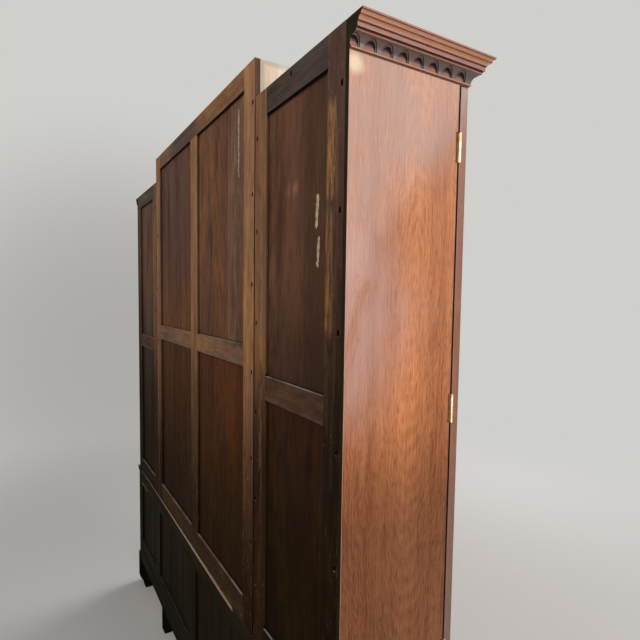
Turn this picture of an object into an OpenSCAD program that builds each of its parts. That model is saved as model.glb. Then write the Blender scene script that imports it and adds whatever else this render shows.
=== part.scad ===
// Breakfront cabinet: a low carcass with drawers on bracket feet, and three
// upper cases with panelled doors. The centre case is taller and stands
// forward of the two wings. Built with panelled backs and arcaded cornices.
// Millimetres, Z up, front towards -Y, origin under the middle of the whole.

/* [Overall] */
// Width over the two outer end boards
carcass_w = 2010; // [1800:10:2200]
// Width of each wing
wing_w = 440; // [380:5:500]
// Height of the wing cases above the floor
wing_h = 2142; // [1950:2:2300]
// Height by which the centre case rises above the wings
centre_rise = 103; // [90:1:160]
// Depth of the wings, from the back to the door fronts
wing_depth = 314; // [280:2:400]
// Distance by which the centre stands forward of the wings
centre_forward = 90; // [60:5:140]
// Height of the waist, where the upper cases stand on the lower one
waist_z = 671; // [620:1:720]
// Distance by which the lower back stands behind the upper backs
back_ledge = 4; // [2:1:10]

/* [Boards] */
// Thickness of the outer end boards
end_t = 22; // [20:1:26]
// Thickness of the inner end boards of the wings
wing_inner_t = 18; // [15:1:22]
// Thickness of the end boards of the centre case
centre_end_t = 20; // [18:1:24]
// Thickness of the top and bottom boards
top_t = 20; // [15:1:24]
// Thickness of the shelves
shelf_t = 18; // [14:1:22]
// Width of the glue lines between boards
seam = 0.1; // [0.1:0.05:0.3]
// Number of shelves in each case
shelf_count = 3; // [2:1:5]
// Distance of the shelf fronts behind the case front
shelf_setback = 14; // [8:1:30]
// Width of the battens under the shelf ends
batten_w = 12; // [8:1:18]
// Height of the battens under the shelf ends
batten_h = 18; // [12:1:24]

/* [Backs] */
// Thickness of the back frames
back_t = 16; // [14:1:22]
// Thickness of the back panels
back_panel_t = 8; // [5:1:10]
// Width of the end board's lip beside the wing back
back_lip = 12; // [8:1:14]
// Width of the wing back stiles, seen from behind with the lip
wing_stile_w = 75; // [60:1:90]
// Width of the outer stiles of the centre back
centre_stile_w = 72; // [60:1:90]
// Width of the middle stile of the centre back
muntin_w = 78; // [60:1:90]
// Distance of the centre back's muntin from the middle, to the left
muntin_shift = 20; // [0:1:40]
// Width of the gap between the backs of the wings and the centre
joint_gap = 7; // [2:1:9]
// Height of the wing back's top rail
wing_top_rail = 64; // [50:1:80]
// Height of the centre back's top rail
centre_top_rail = 59; // [50:1:80]
// Height of the middle rails
mid_rail = 62; // [50:1:80]
// Height of the wing back's bottom rail
wing_bottom_rail = 65; // [50:1:80]
// Height of the centre back's bottom rail
centre_bottom_rail = 75; // [60:1:90]
// Height of the wing middle rail above the waist
wing_mid_z = 684; // [600:2:760]
// Height of the centre middle rail above the waist
centre_mid_z = 754; // [660:2:840]
// Height of the lower back's top rail
base_top_rail = 71; // [60:1:90]
// Height of the lower back's bottom rail
base_bottom_rail = 130; // [100:1:150]
// Radius of the screw holes in the back stiles
screw_hole_r = 4; // [3:0.5:5]
// Distance by which the screw holes are longer than wide
screw_hole_stretch = 6; // [2:1:8]
// Depth of the screw holes in the back stiles
screw_hole_depth = 11; // [8:1:12]
// Spacing of the screws along the stiles
screw_pitch = 240; // [180:10:320]
// Distance of the screws from the edge of the stile
screw_inset = 12; // [9:1:20]
// Distance of the inner wing stile's screws from its edge
joint_screw_inset = 18; // [9:1:24]
// Distance of the first screw from the top of the stile
screw_end = 110; // [60:5:140]
// Distance of the top rail's screw from the inner wing stile
rail_screw_in = 130; // [60:5:200]
// Distance of the top rail's screw from the top
rail_screw_below = 14; // [12:1:24]
// Length of the screw heads
screw_head_h = 5; // [3:1:6]

/* [Cornice] */
// Height of the cornice
cornice_h = 58; // [58:1:64]
// Projection of the cornice beyond the case
cornice_p = 40; // [38:1:46]
// Height of the cornice above the case top
cornice_lip = 0; // [0:1:8]
// Distance from the cornice bottom to the foot of the arcade
arcade_z = 5.5; // [5:0.5:7]
// Height of the arcade
arcade_h = 20; // [18:1:22]
// Radius of the hollow that the arcade follows
arcade_hollow_r = 21; // [21:0.5:23]
// Spacing of the arches
arch_pitch = 40; // [36:1:48]
// Radius of the arch heads
arch_r = 12.5; // [10:0.5:14]
// Width of the step around each arch
arch_step_w = 2.5; // [1.5:0.5:3]
// Depth of the step around each arch
arch_step_d = 1.6; // [1:0.2:2]
// Distance from the corner to the middle of the first arcade leg
arch_corner = 9; // [7:1:12]
// Length of the centre cornice's returns along its ends
cornice_return = 200; // [150:5:240]

/* [Waist and base] */
// Height of the waist moulding
waist_moulding_h = 22; // [18:1:30]
// Projection of the waist moulding
waist_moulding_p = 36; // [30:1:38]
// Height of the base moulding
base_moulding_h = 28; // [22:1:36]
// Projection of the base moulding and of the feet
base_moulding_p = 38; // [30:1:40]
// Height of the feet
foot_h = 150; // [120:5:180]
// Length of the foot brackets
foot_l = 170; // [130:5:190]
// Length of the brackets along the ends of the case
foot_side_l = 130; // [110:5:135]
// Width of the brackets at the floor
foot_w = 70; // [55:5:80]
// Height of the brackets' arms under the case
foot_arm = 24; // [18:1:34]
// Width of the corner cut off the back feet
foot_cut_w = 21; // [8:1:30]
// Height of the corner cut off the back feet
foot_cut_h = 37; // [15:1:60]
// Thickness of the foot brackets
foot_t = 44; // [42:1:50]
// Width of the blocks behind the foot brackets
foot_block_w = 55; // [40:1:60]

/* [Doors] */
// Thickness of the doors
door_t = 21; // [20:1:25]
// Gap between the case front and the back of the doors
door_gap = 4; // [3.5:0.5:6]
// Clearance around the edges of the doors
door_margin = 2.5; // [2:0.5:4]
// Width of the door stiles
door_stile = 68; // [55:1:80]
// Height of the top and middle rails of the doors
door_rail = 68; // [55:1:80]
// Height of the bottom rails of the doors
door_bottom_rail = 92; // [75:1:110]
// Height of the doors' middle rail above the bottom of the door
door_mid_z = 520; // [440:5:600]
// Thickness of the door panels
door_panel_t = 8; // [6:1:9]
// Width of the moulding around the door panels
panel_bead = 9; // [7:1:12]
// Width of the bead on the meeting edge of the centre doors
meeting_bead = 7; // [5:1:9]

/* [Hinges] */
// Height of the hinges
hinge_h = 64; // [50:1:76]
// Distance from the door's end to the hinge beside it
hinge_inset = 98; // [80:1:130]
// Radius of the hinge barrels
barrel_r = 3.2; // [3:0.1:4]
// Radius of the hinge pins
hinge_pin_r = 1.5; // [1:0.1:1.8]
// Running clearance of pins in their bores
pin_clear = 0.05; // [0.02:0.01:0.1]
// Distance of the hinge axis outside the end board
hinge_out = 2; // [1:0.5:3]
// Thickness of the hinge leaves
leaf_t = 1.2; // [1:0.1:1.4]
// Width of the hinge leaves on the end board
leaf_w = 16; // [12:1:17]
// Depth of the recess beside the barrel
hinge_notch = 6.5; // [5:0.5:8]

/* [Drawers] */
// Height of the rails between the drawers
drawer_rail_h = 20; // [16:1:24]
// Depth of the rails between the drawers
drawer_rail_d = 60; // [45:1:80]
// Width of the drawer runners
runner_w = 26; // [20:1:34]
// Clearance around the drawer fronts
drawer_gap = 1.5; // [1:0.1:2.5]
// Clearance under the drawer sides
drawer_rest = 0.3; // [0.2:0.1:0.5]
// Thickness of the drawer fronts
drawer_front_t = 20; // [18:1:24]
// Thickness of the drawer sides
drawer_side_t = 12; // [9:1:14]
// Thickness of the drawer bottoms
drawer_bottom_t = 8; // [6:1:10]
// Height of the drawer bottom above the lower edge of the sides
drawer_bottom_z = 12; // [8:1:16]
// Distance between the drawer and the back
drawer_back_gap = 10; // [6:1:20]
// Height by which the drawer sides stop below the top of the front
drawer_side_drop = 12; // [8:1:20]
// Thickness of the bead around the drawer fronts
cockbead_t = 3; // [2:0.5:4]
// Projection of the bead around the drawer fronts
cockbead_p = 2; // [1:0.5:3]

/* [Handles] */
// Distance between the posts of a handle
handle_w = 88; // [80:1:100]
// Distance of the bail pivot in front of the drawer
handle_out = 16; // [14:1:20]
// Radius of the round plates under the posts
rose_r = 13; // [11:0.5:16]
// Thickness of the round plates under the posts
rose_t = 2; // [1.5:0.5:3]
// Radius of the posts
post_r = 4; // [3:0.5:5]
// Radius of the heads of the posts
post_head_r = 6.5; // [6:0.5:8]
// Radius of the bail rod
bail_r = 2.4; // [2:0.1:3]
// Radius of the bail pins
bail_pin_r = 1.9; // [1.5:0.1:2.2]
// Distance of the long drawers' handles from the middle
long_handle_x = 300; // [220:5:340]
// Radius of the key plates
key_plate_r = 11; // [9:1:14]
// Thickness of the key plates
key_plate_t = 1.5; // [1:0.5:2]

/* [Hidden] */
$fn = 48;

mahogany = [0.45, 0.2, 0.12];
back_wood = [0.25, 0.17, 0.12];
inside_wood = [0.55, 0.4, 0.25];
brass = [0.8, 0.65, 0.35];
iron = [0.12, 0.11, 0.1];

// Plan, with the upper backs at y = 0 and the front towards -y
x_end = carcass_w / 2;
x_joint = x_end - wing_w;
centre_w = 2 * x_joint;
centre_depth = wing_depth + centre_forward;
centre_h = wing_h + centre_rise;
wing_case_front = -(wing_depth - door_t - door_gap);
centre_case_front = wing_case_front - centre_forward;
back_y = (centre_depth + cornice_p - back_ledge) / 2;
far = 3000;

// Lower carcass, with its bottom and top as thick as the mouldings are high
base_z = foot_h;
base_floor = base_z + base_moulding_h;
base_ceiling = waist_z - waist_moulding_h;
bay_h = (base_ceiling - base_floor - drawer_rail_h) / 2;
rail_z = base_floor + bay_h;
wing_bay_w = wing_w - end_t;
centre_bay_w = centre_w - 2 * centre_end_t;

// Doors and hinges
door_z0 = waist_z + door_margin;
cornice_drop = cornice_h - cornice_lip;
wing_door_z1 = wing_h - cornice_drop - door_margin;
centre_door_z1 = centre_h - cornice_drop - door_margin;
wing_door_w = wing_w - door_margin;
centre_door_w = x_joint - door_margin / 2;
hinge_axis_back = 0.7;
axis_y = -door_gap + hinge_axis_back;
turn_clear = 0.3;
knuckle_h = hinge_h / 3;
notch_depth = 4.5;
notch_clear = 1;

// Cornice profile, as heights below the cornice top
top_fillet_z = 3.5;
cavetto_r = 5;
cavetto_in = 0.5;
upper_fillet_z = 10;
upper_fillet_h = 1;
upper_fillet_p = cornice_p - 1.5;
hollow_r = 7;
hollow_p = cornice_p - 6;
hollow_top_p = cornice_p - 5;
fascia_z = 18.5;
fascia_h = 7.5;
fascia_p = cornice_p - 15.5;
fascia_fillet_p = fascia_p + 1.3;
fascia_fillet_h = 1;
arcade_top = cornice_h - arcade_z - arcade_h;
groove_z = fascia_z + fascia_h + fascia_fillet_h;
groove_h = 1.5;
groove_p = fascia_p - 4;
lower_fillet_p = fascia_p - 4.5;
arcade_top_p = lower_fillet_p - 2;
arcade_bottom = cornice_h - arcade_z;
arcade_back_p = 1;
arcade_foot_p = 3.5;
bead_r = 1.75;
bead_p = 5;
foot_fillet_p = 1.5;

// Shared shapes

// Box between two corners
module box(low, high) {
    translate(low) cube(high - low);
}

// Board between two corners, cut short by a glue line along the axes in trim
module board(low, high, trim) {
    box(low + seam * trim, high - seam * trim);
}

// Puts the model's back plane at its place in the frame
module at_back() {
    translate([0, back_y, 0]) children();
}

// Both sides of a symmetrical pair
module both_sides() {
    children();
    mirror([1, 0, 0]) children();
}

// Straight run of a moulding along +x with its profile's height along z and
// its projection along -y. The ends grow with the projection by grow_a and
// grow_b: 1 for an outside mitre, -1 for an inside one, 0 for a square end.
module run(length, grow_a, grow_b, reach) {
    intersection() {
        translate([-far / 2, 0, 0]) rotate([90, 0, 90]) linear_extrude(far) mirror([1, 0]) children();
        translate([0, 0, -far / 2]) linear_extrude(far)
            polygon([
                [seam, 0],
                [length - seam, 0],
                [length - seam + grow_b * reach, -reach],
                [seam - grow_a * reach, -reach]
            ]);
    }
}

// Moulding around the left half of a wing-shaped plan, from the back of the
// outer end to the joint with the centre
module left_side_run(front, back, reach) {
    translate([-x_end, back, 0]) rotate([0, 0, -90]) run(back + front, 0, 1, reach) children();
}

module left_front_run(front, grow_b, reach) {
    translate([-x_end, -front, 0]) run(wing_w, 1, grow_b, reach) children();
}

// Moulding on the step between the wing and the centre
module left_step_run(reach) {
    translate([-x_joint, -wing_depth, 0]) rotate([0, 0, -90])
        run(centre_forward, -1, 1, reach) children();
}

module centre_front_run(reach) {
    translate([-x_joint, -centre_depth, 0]) run(centre_w, 1, 1, reach) children();
}

// All seven runs of a moulding that follows the breakfront
module full_run(reach) {
    both_sides() {
        left_side_run(wing_depth, back_ledge, reach) children();
        left_front_run(wing_depth, -1, reach) children();
        left_step_run(reach) children();
    }
    centre_front_run(reach) children();
}

// Lower carcass

module base_case() color(mahogany) at_back() {
    both_sides() {
        difference() {
            box([-x_end, -wing_depth, base_z], [-x_end + end_t, back_ledge, waist_z]);
            box([-base_frame_x, back_ledge - back_t, base_z - 1], [-x_end + end_t + 1, far, waist_z + 1]);
        }
        board([-x_joint, -centre_depth, base_floor],
            [-x_joint + centre_end_t, back_ledge - back_t, base_ceiling], [0, 0, 1]);
        board([-x_end + end_t, -wing_depth, base_z], [-x_joint, back_ledge - back_t, base_floor], [1, 0, 0]);
        board([-x_end + end_t, -wing_depth, base_ceiling],
            [-x_joint, back_ledge - back_t, waist_z], [1, 0, 0]);
    }
    box([-x_joint, -centre_depth, base_z], [x_joint, back_ledge - back_t, base_floor]);
    box([-x_joint, -centre_depth, base_ceiling], [x_joint, back_ledge - back_t, waist_z]);
}

// Front rails between the drawers, and the runners behind them
module drawer_rail(x0, x1, front) {
    box([x0, front, rail_z], [x1, front + drawer_rail_d, rail_z + drawer_rail_h]);
    for (x = [x0, x1 - runner_w])
        board([x, front + drawer_rail_d, rail_z],
            [x + runner_w, back_ledge - back_t, rail_z + drawer_rail_h], [0, 1, 0]);
}

module base_drawer_rails() color(mahogany) at_back() {
    both_sides() drawer_rail(-x_end + end_t, -x_joint, -wing_depth);
    drawer_rail(-centre_bay_w / 2, centre_bay_w / 2, -centre_depth);
}

// Screw holes down a stile at x, from low to high
function screw_heights(low, high) = [
    for (z = [high - screw_end : -screw_pitch : low + screw_end / 2]) z
];

// Upright hole along +y, rounded above and below
module screw_hole() rotate([-90, 0, 0]) {
    for (s = [-1, 1])
        translate([0, s * screw_hole_stretch / 2, 0]) cylinder(r = screw_hole_r, h = far);
    translate([-screw_hole_r, -screw_hole_stretch / 2, 0])
        cube([2 * screw_hole_r, screw_hole_stretch, far]);
}
module screw_holes(x, low, high, back) {
    for (z = screw_heights(low, high))
        translate([x, back - screw_hole_depth, z]) screw_hole();
}

module screw_heads(x, low, high, back) {
    for (z = screw_heights(low, high))
        translate([x, back - screw_hole_depth, z]) rotate([-90, 0, 0])
            cylinder(r = screw_hole_r - pin_clear, h = screw_head_h);
}

// Upright of a back frame with its screws
module back_stile(x0, x1, z0, z1, back, screw_x) {
    difference() {
        box([x0, back - back_t, z0], [x1, back, z1]);
        screw_holes(screw_x, z0, z1, back);
    }
}

// Rail of a back frame between two uprights
module back_rail(x0, x1, z0, z1, back) {
    board([x0, back - back_t, z0], [x1, back, z1], [1, 0, 0]);
}

// Short upright of a back frame between two rails
module back_muntin(x0, x1, z0, z1, back) {
    board([x0, back - back_t, z0], [x1, back, z1], [0, 0, 1]);
}

module back_panel(x0, x1, z0, z1, back) {
    box([x0, back - back_t, z0], [x1, back - back_t + back_panel_t, z1]);
}

base_frame_x = x_end - back_lip;
base_stile_x = x_end - wing_stile_w;
base_joint_out = x_joint + centre_stile_w / 2;
base_joint_in = x_joint - centre_stile_w / 2;
base_panel_z0 = base_z + base_bottom_rail;
base_panel_z1 = waist_z - base_top_rail;

module base_back_frame() color(back_wood) at_back() {
    both_sides()
        back_stile(-base_frame_x, -base_stile_x, base_z, waist_z, back_ledge, -base_frame_x + screw_inset);
    for (z = [[base_z, base_panel_z0], [base_panel_z1, waist_z]])
        back_rail(-base_stile_x, base_stile_x, z[0], z[1], back_ledge);
    both_sides() back_muntin(-base_joint_out, -base_joint_in, base_panel_z0, base_panel_z1, back_ledge);
    back_muntin(-muntin_w / 2, muntin_w / 2, base_panel_z0, base_panel_z1, back_ledge);
}

module base_back_panels() color(back_wood) at_back() {
    both_sides() {
        back_panel(-base_stile_x, -base_joint_out, base_panel_z0, base_panel_z1, back_ledge);
        back_panel(-base_joint_in, -muntin_w / 2, base_panel_z0, base_panel_z1, back_ledge);
    }
}

// Waist moulding: a square edge over a hollow and a small square step
waist_edge_h = 5;
waist_step_h = 4;
waist_step_p = 8;
module waist_profile() {
    difference() {
        square([waist_moulding_p, waist_moulding_h]);
        translate([waist_moulding_p, waist_step_h])
            circle(r = waist_moulding_h - waist_edge_h - waist_step_h);
        translate([waist_step_p, -1]) square([far, waist_step_h + 1]);
    }
}

module waist_moulding() color(mahogany) at_back()
    translate([0, 0, waist_z - waist_moulding_h]) full_run(waist_moulding_p) waist_profile();

// Base moulding: a square edge with a rounded top
base_round = 0.4;
module base_profile() {
    round_r = base_moulding_h * base_round;
    square([base_moulding_p, base_moulding_h - round_r]);
    square([base_moulding_p - round_r, base_moulding_h]);
    translate([base_moulding_p - round_r, base_moulding_h - round_r]) circle(r = round_r);
}

module base_moulding() color(mahogany) at_back()
    translate([0, 0, base_z]) full_run(base_moulding_p) base_profile();

// Foot bracket along +x with its inner face at y = 0: a foot and a thin arm
// with a rounded corner between them. It is mitred at x = 0 when grow is 1.
foot_curve = 0.4;
module bracket(length, width, grow) {
    arm_z = foot_h - foot_arm;
    curve_r = arm_z * foot_curve;
    intersection() {
        translate([-foot_t, 0, 0]) rotate([90, 0, 0]) linear_extrude(foot_t) difference() {
            square([length + foot_t, foot_h]);
            translate([width + foot_t, -1]) square([far, arm_z - curve_r + 1]);
            translate([width + foot_t + curve_r, -1]) square([far, arm_z + 1]);
            translate([width + foot_t + curve_r, arm_z - curve_r]) circle(r = curve_r);
        }
        translate([0, 0, -1]) linear_extrude(foot_h + 2)
            polygon([[seam, 0], [far, 0], [far, -foot_t], [seam - grow * foot_t, -foot_t]]);
    }
}

foot_in = foot_t - base_moulding_p;

module foot_block() {
    translate([seam, seam, 0]) cube([foot_block_w, foot_block_w, foot_h]);
}

// Front corner foot: two brackets mitred together and a block behind them
module corner_foot(side_l, side_w) translate([foot_in, foot_in, 0]) {
    bracket(foot_l, foot_w, 1);
    mirror([1, -1, 0]) bracket(side_l, side_w, 1);
    foot_block();
}

// Back foot: a bracket along the end, and a block
module back_foot() {
    difference() {
        translate([foot_in, 0, 0]) rotate([0, 0, -90]) bracket(foot_side_l, foot_w, 0);
        translate([foot_in - far, 0, 0]) rotate([0, 90, 0]) linear_extrude(2 * far)
            polygon([[-foot_cut_h, 1], [-foot_cut_h, 0], [0, -foot_cut_w], [1, -foot_cut_w], [1, 1]]);
    }
    translate([foot_in, -foot_block_w - back_t, 0]) foot_block();
}

module bracket_feet() color(mahogany) at_back() both_sides() {
    translate([-x_end, -wing_depth, 0]) corner_foot(foot_side_l, foot_w);
    translate([-x_joint, -centre_depth, 0]) corner_foot(centre_forward - foot_in, foot_w / 2);
    translate([-x_end, back_ledge, 0]) back_foot();
    translate([-x_joint, back_ledge - foot_block_w - back_t, 0]) foot_block();
}

// Upper cases

// Screws of all the back frames, seated in the holes of the stiles
module back_screws() color(iron) at_back() both_sides() {
    screw_heads(-base_frame_x + screw_inset, base_z, waist_z, back_ledge);
    screw_heads(-x_end + back_lip + screw_inset, waist_z, wing_h, 0);
    screw_heads(-x_joint - joint_screw_inset, waist_z, wing_h, 0);
    screw_heads(-x_joint + screw_inset, waist_z, centre_h, 0);
    at_rail_screw() rotate([-90, 0, 0])
        cylinder(r = screw_hole_r - pin_clear, h = screw_head_h);
}

// Heights of the hinge middles on a door between z0 and z1
function hinge_heights(z0, z1) = [
    z0 + hinge_inset + hinge_h / 2,
    (z0 + z1) / 2,
    z1 - hinge_inset - hinge_h / 2
];

// Recesses beside the hinge barrels in the front edge of an end board whose
// outer face is at x and whose front edge is at y
module hinge_notches(x, y, z1) {
    for (z = hinge_heights(door_z0, z1))
        translate([x - 1, y - 1, z - hinge_h / 2 - notch_clear])
            cube([notch_depth + 1, hinge_notch + 1, hinge_h + 2 * notch_clear]);
}

module left_wing_case_boards() {
    difference() {
        box([-x_end, wing_case_front, waist_z], [-x_end + end_t, 0, wing_h]);
        box([-x_end + back_lip, -back_t, waist_z - 1], [-x_end + end_t + 1, 1, wing_h + 1]);
        hinge_notches(-x_end, wing_case_front, wing_door_z1);
    }
    box([-x_joint - wing_inner_t, wing_case_front, waist_z], [-x_joint, -back_t, wing_h]);
    for (z = [waist_z, wing_h - top_t])
        board([-x_end + end_t, wing_case_front, z],
            [-x_joint - wing_inner_t, -back_t, z + top_t], [1, 0, 0]);
}

// Height of the top of shelf i between z0 and z1
function shelf_top(i, z0, z1) = z0 + (i + 1) * (z1 - z0 - shelf_t) / (shelf_count + 1) + shelf_t;

batten_setback = shelf_setback + 10;

// Shelves on battens between x0 and x1, in a case with its front at y
module shelves(x0, x1, y, z0, z1) {
    for (i = [0 : shelf_count - 1]) {
        z = shelf_top(i, z0, z1) - shelf_t;
        box([x0, y + shelf_setback, z], [x1, -back_t, z + shelf_t]);
        for (x = [x0, x1 - batten_w])
            board([x, y + batten_setback, z - batten_h], [x + batten_w, -back_t, z], [0, 0, 1]);
    }
}

module left_wing_shelf_set()
    shelves(-x_end + end_t, -x_joint - wing_inner_t, wing_case_front, waist_z + top_t, wing_h - top_t);

wing_back_x0 = -x_end + back_lip;
wing_panel_x0 = -x_end + wing_stile_w;
wing_panel_x1 = -x_joint - wing_stile_w;
wing_panel_rows = [
    [waist_z + wing_bottom_rail, waist_z + wing_mid_z],
    [waist_z + wing_mid_z + mid_rail, wing_h - wing_top_rail]
];

module at_rail_screw()
    translate([wing_panel_x1 - rail_screw_in, -screw_hole_depth, wing_h - rail_screw_below])
        children();

module left_wing_back() {
    back_stile(wing_back_x0, wing_panel_x0, waist_z, wing_h, 0, wing_back_x0 + screw_inset);
    back_stile(wing_panel_x1, -x_joint - joint_gap, waist_z, wing_h, 0,
        -x_joint - joint_screw_inset);
    back_rail(wing_panel_x0, wing_panel_x1, waist_z, wing_panel_rows[0][0], 0);
    back_rail(wing_panel_x0, wing_panel_x1, wing_panel_rows[0][1], wing_panel_rows[1][0], 0);
    difference() {
        back_rail(wing_panel_x0, wing_panel_x1, wing_panel_rows[1][1], wing_h, 0);
        at_rail_screw() screw_hole();
    }
}

module left_wing_panels() {
    for (row = wing_panel_rows)
        back_panel(wing_panel_x0, wing_panel_x1, row[0], row[1], 0);
}

// Cornice profile: projection along x, height along y with the top at 0
module cornice_profile() {
    difference() {
        translate([0, -cornice_h]) square([cornice_p, cornice_h]);
        // small hollow under the top fillet
        translate([upper_fillet_p, -upper_fillet_z + upper_fillet_h])
            square([far, upper_fillet_z - upper_fillet_h - top_fillet_z]);
        translate([cornice_p - cavetto_in, -upper_fillet_z + upper_fillet_h]) circle(r = cavetto_r);
        // hollow down to the fascia
        translate([hollow_top_p, -fascia_z]) square([far, fascia_z - upper_fillet_z]);
        translate([hollow_p, -fascia_z + fascia_fillet_h]) circle(r = hollow_r);
        translate([fascia_fillet_p, -fascia_z - fascia_h - fascia_fillet_h])
            square([far, fascia_h + 2 * fascia_fillet_h]);
        // fascia
        translate([fascia_p, -groove_z]) square([far, groove_z - fascia_z]);
        // groove, lower fillet, arcade and foot
        translate([groove_p, -groove_z - groove_h]) square([far, groove_h]);
        translate([lower_fillet_p, -arcade_top]) square([far, arcade_top - groove_z - groove_h]);
        translate([arcade_back_p, -arcade_bottom]) square([far, arcade_h]);
        translate([foot_fillet_p, -cornice_h - 1]) square([far, arcade_z + 1]);
    }
    translate([0, -arcade_bottom - 2 * bead_r]) square([bead_p - bead_r, 2 * bead_r]);
    translate([bead_p - bead_r, -arcade_bottom - bead_r]) circle(r = bead_r);
}

// Hollow front of the arcade, cut deeper by inset
module arcade_profile(inset) {
    difference() {
        translate([arcade_back_p, -arcade_bottom]) square([arcade_top_p - arcade_back_p, arcade_h]);
        translate([arcade_foot_p + arcade_hollow_r, -arcade_bottom]) circle(r = arcade_hollow_r + inset);
    }
}

// Arch cut through the arcade at x, with its head's radius r
arch_above = 1;
module arch_cut(x, r) {
    head_z = -arcade_top - arch_step_w - arch_r - arch_above;
    translate([x, 1, 0]) rotate([90, 0, 0]) {
        translate([0, head_z, 0]) cylinder(r = r, h = cornice_p);
        translate([-r, -arcade_bottom - 1, 0]) cube([2 * r, arcade_bottom + 1 + head_z, cornice_p]);
    }
}

// Arcade along +x with its arches at the places in xs
module arcade_run(length, grow_a, grow_b, xs) {
    for (layer = [[0, arch_r + arch_step_w], [arch_step_d, arch_r]])
        difference() {
            run(length, grow_a, grow_b, cornice_p) arcade_profile(layer[0]);
            for (x = xs)
                arch_cut(x, layer[1]);
        }
}

// Places of the arches from a corner over a length
function arches(length) = [
    for (i = [0 : floor((length - arch_corner - arch_pitch / 2 + arch_r) / arch_pitch)])
        arch_corner + (i + 0.5) * arch_pitch
];
function reversed(length, xs) = [for (x = xs) length - x];

module left_wing_cornice_runs() {
    translate([0, 0, wing_h + cornice_lip]) {
        left_side_run(wing_depth, 0, cornice_p) cornice_profile();
        left_front_run(wing_depth, 0, cornice_p) cornice_profile();
    }
    board([-x_end, -wing_depth, wing_h - cornice_drop], [-x_joint, wing_case_front, wing_h], [1, 1, 0]);
}

module left_wing_arcade_runs() {
    translate([0, 0, wing_h + cornice_lip]) {
        translate([-x_end, 0, 0]) rotate([0, 0, -90])
            arcade_run(wing_depth, 0, 1, reversed(wing_depth, arches(wing_depth)));
        translate([-x_end, -wing_depth, 0])
            arcade_run(wing_w, 1, 0, arches(wing_w));
    }
}

module left_wing_case() color(mahogany) at_back() left_wing_case_boards();
module right_wing_case() color(mahogany) at_back() mirror([1, 0, 0]) left_wing_case_boards();
module left_wing_shelves() color(inside_wood) at_back() left_wing_shelf_set();
module right_wing_shelves() color(inside_wood) at_back() mirror([1, 0, 0]) left_wing_shelf_set();
module left_wing_back_frame() color(back_wood) at_back() left_wing_back();
module right_wing_back_frame() color(back_wood) at_back() mirror([1, 0, 0]) left_wing_back();
module left_wing_back_panels() color(back_wood) at_back() left_wing_panels();
module right_wing_back_panels() color(back_wood) at_back() mirror([1, 0, 0]) left_wing_panels();
module left_wing_cornice() color(mahogany) at_back() left_wing_cornice_runs();
module right_wing_cornice() color(mahogany) at_back() mirror([1, 0, 0]) left_wing_cornice_runs();
module left_wing_arcade() color(mahogany) at_back() left_wing_arcade_runs();
module right_wing_arcade() color(mahogany) at_back() mirror([1, 0, 0]) left_wing_arcade_runs();

// Centre case

module centre_case() color(mahogany) at_back() {
    both_sides() difference() {
        box([-x_joint, centre_case_front, waist_z], [-x_joint + centre_end_t, -back_t, centre_h]);
        hinge_notches(-x_joint, centre_case_front, centre_door_z1);
    }
    for (z = [waist_z, centre_h - top_t])
        board([-centre_bay_w / 2, centre_case_front, z], [centre_bay_w / 2, -back_t, z + top_t], [1, 0, 0]);
}

module centre_shelves() color(inside_wood) at_back()
    shelves(-centre_bay_w / 2, centre_bay_w / 2, centre_case_front, waist_z + top_t, centre_h - top_t);

centre_panel_x = x_joint - centre_stile_w;
centre_panel_cols = [
    [-centre_panel_x, -muntin_shift - muntin_w / 2],
    [-muntin_shift + muntin_w / 2, centre_panel_x]
];
centre_panel_rows = [
    [waist_z + centre_bottom_rail, waist_z + centre_mid_z],
    [waist_z + centre_mid_z + mid_rail, centre_h - centre_top_rail]
];

module centre_back_frame() color(back_wood) at_back() {
    both_sides() back_stile(-x_joint, -centre_panel_x, waist_z, centre_h, 0, -x_joint + screw_inset);
    back_muntin(centre_panel_cols[0][1], centre_panel_cols[1][0], centre_panel_rows[0][0],
        centre_panel_rows[1][1], 0);
    back_rail(-centre_panel_x, centre_panel_x, waist_z, centre_panel_rows[0][0], 0);
    for (col = centre_panel_cols)
        back_rail(col[0], col[1], centre_panel_rows[0][1], centre_panel_rows[1][0], 0);
    back_rail(-centre_panel_x, centre_panel_x, centre_panel_rows[1][1], centre_h, 0);
}

module centre_back_panels() color(back_wood) at_back()
    for (row = centre_panel_rows, col = centre_panel_cols)
        back_panel(col[0], col[1], row[0], row[1], 0);

module centre_cornice() color(mahogany) at_back() {
    translate([0, 0, centre_h + cornice_lip]) {
        both_sides() translate([-x_joint, -centre_depth + cornice_return, 0]) rotate([0, 0, -90])
            run(cornice_return, 0, 1, cornice_p) cornice_profile();
        centre_front_run(cornice_p) cornice_profile();
    }
    board([-x_joint, -centre_depth, centre_h - cornice_drop],
        [x_joint, centre_case_front, centre_h], [1, 1, 0]);
}

centre_arch_count = floor((centre_w - 2 * arch_corner) / arch_pitch);
centre_arch_start = (centre_w - (centre_arch_count - 1) * arch_pitch) / 2;
centre_arches = [for (i = [0 : centre_arch_count - 1]) centre_arch_start + i * arch_pitch];

module centre_arcade() color(mahogany) at_back() translate([0, 0, centre_h + cornice_lip]) {
    both_sides() translate([-x_joint, -centre_depth + cornice_return, 0]) rotate([0, 0, -90])
        arcade_run(cornice_return, 0, 1, reversed(cornice_return, arches(cornice_return)));
    translate([-x_joint, -centre_depth, 0])
        arcade_run(centre_w, 1, 1, centre_arches);
}

// Doors. Each is drawn with its hinged edge at x = 0, growing along +x, with
// the case front at y = 0 and the door front at y = -(door_gap + door_t).

door_back = -door_gap;
door_front = -door_gap - door_t;

// Space swept by the hinge barrel, cut from the door's edge
module barrel_space(z0, z1) {
    for (z = hinge_heights(z0, z1))
        translate([-hinge_out, axis_y, z - hinge_h / 2 - turn_clear])
            cylinder(r = barrel_r + turn_clear, h = hinge_h + 2 * turn_clear);
}

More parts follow.
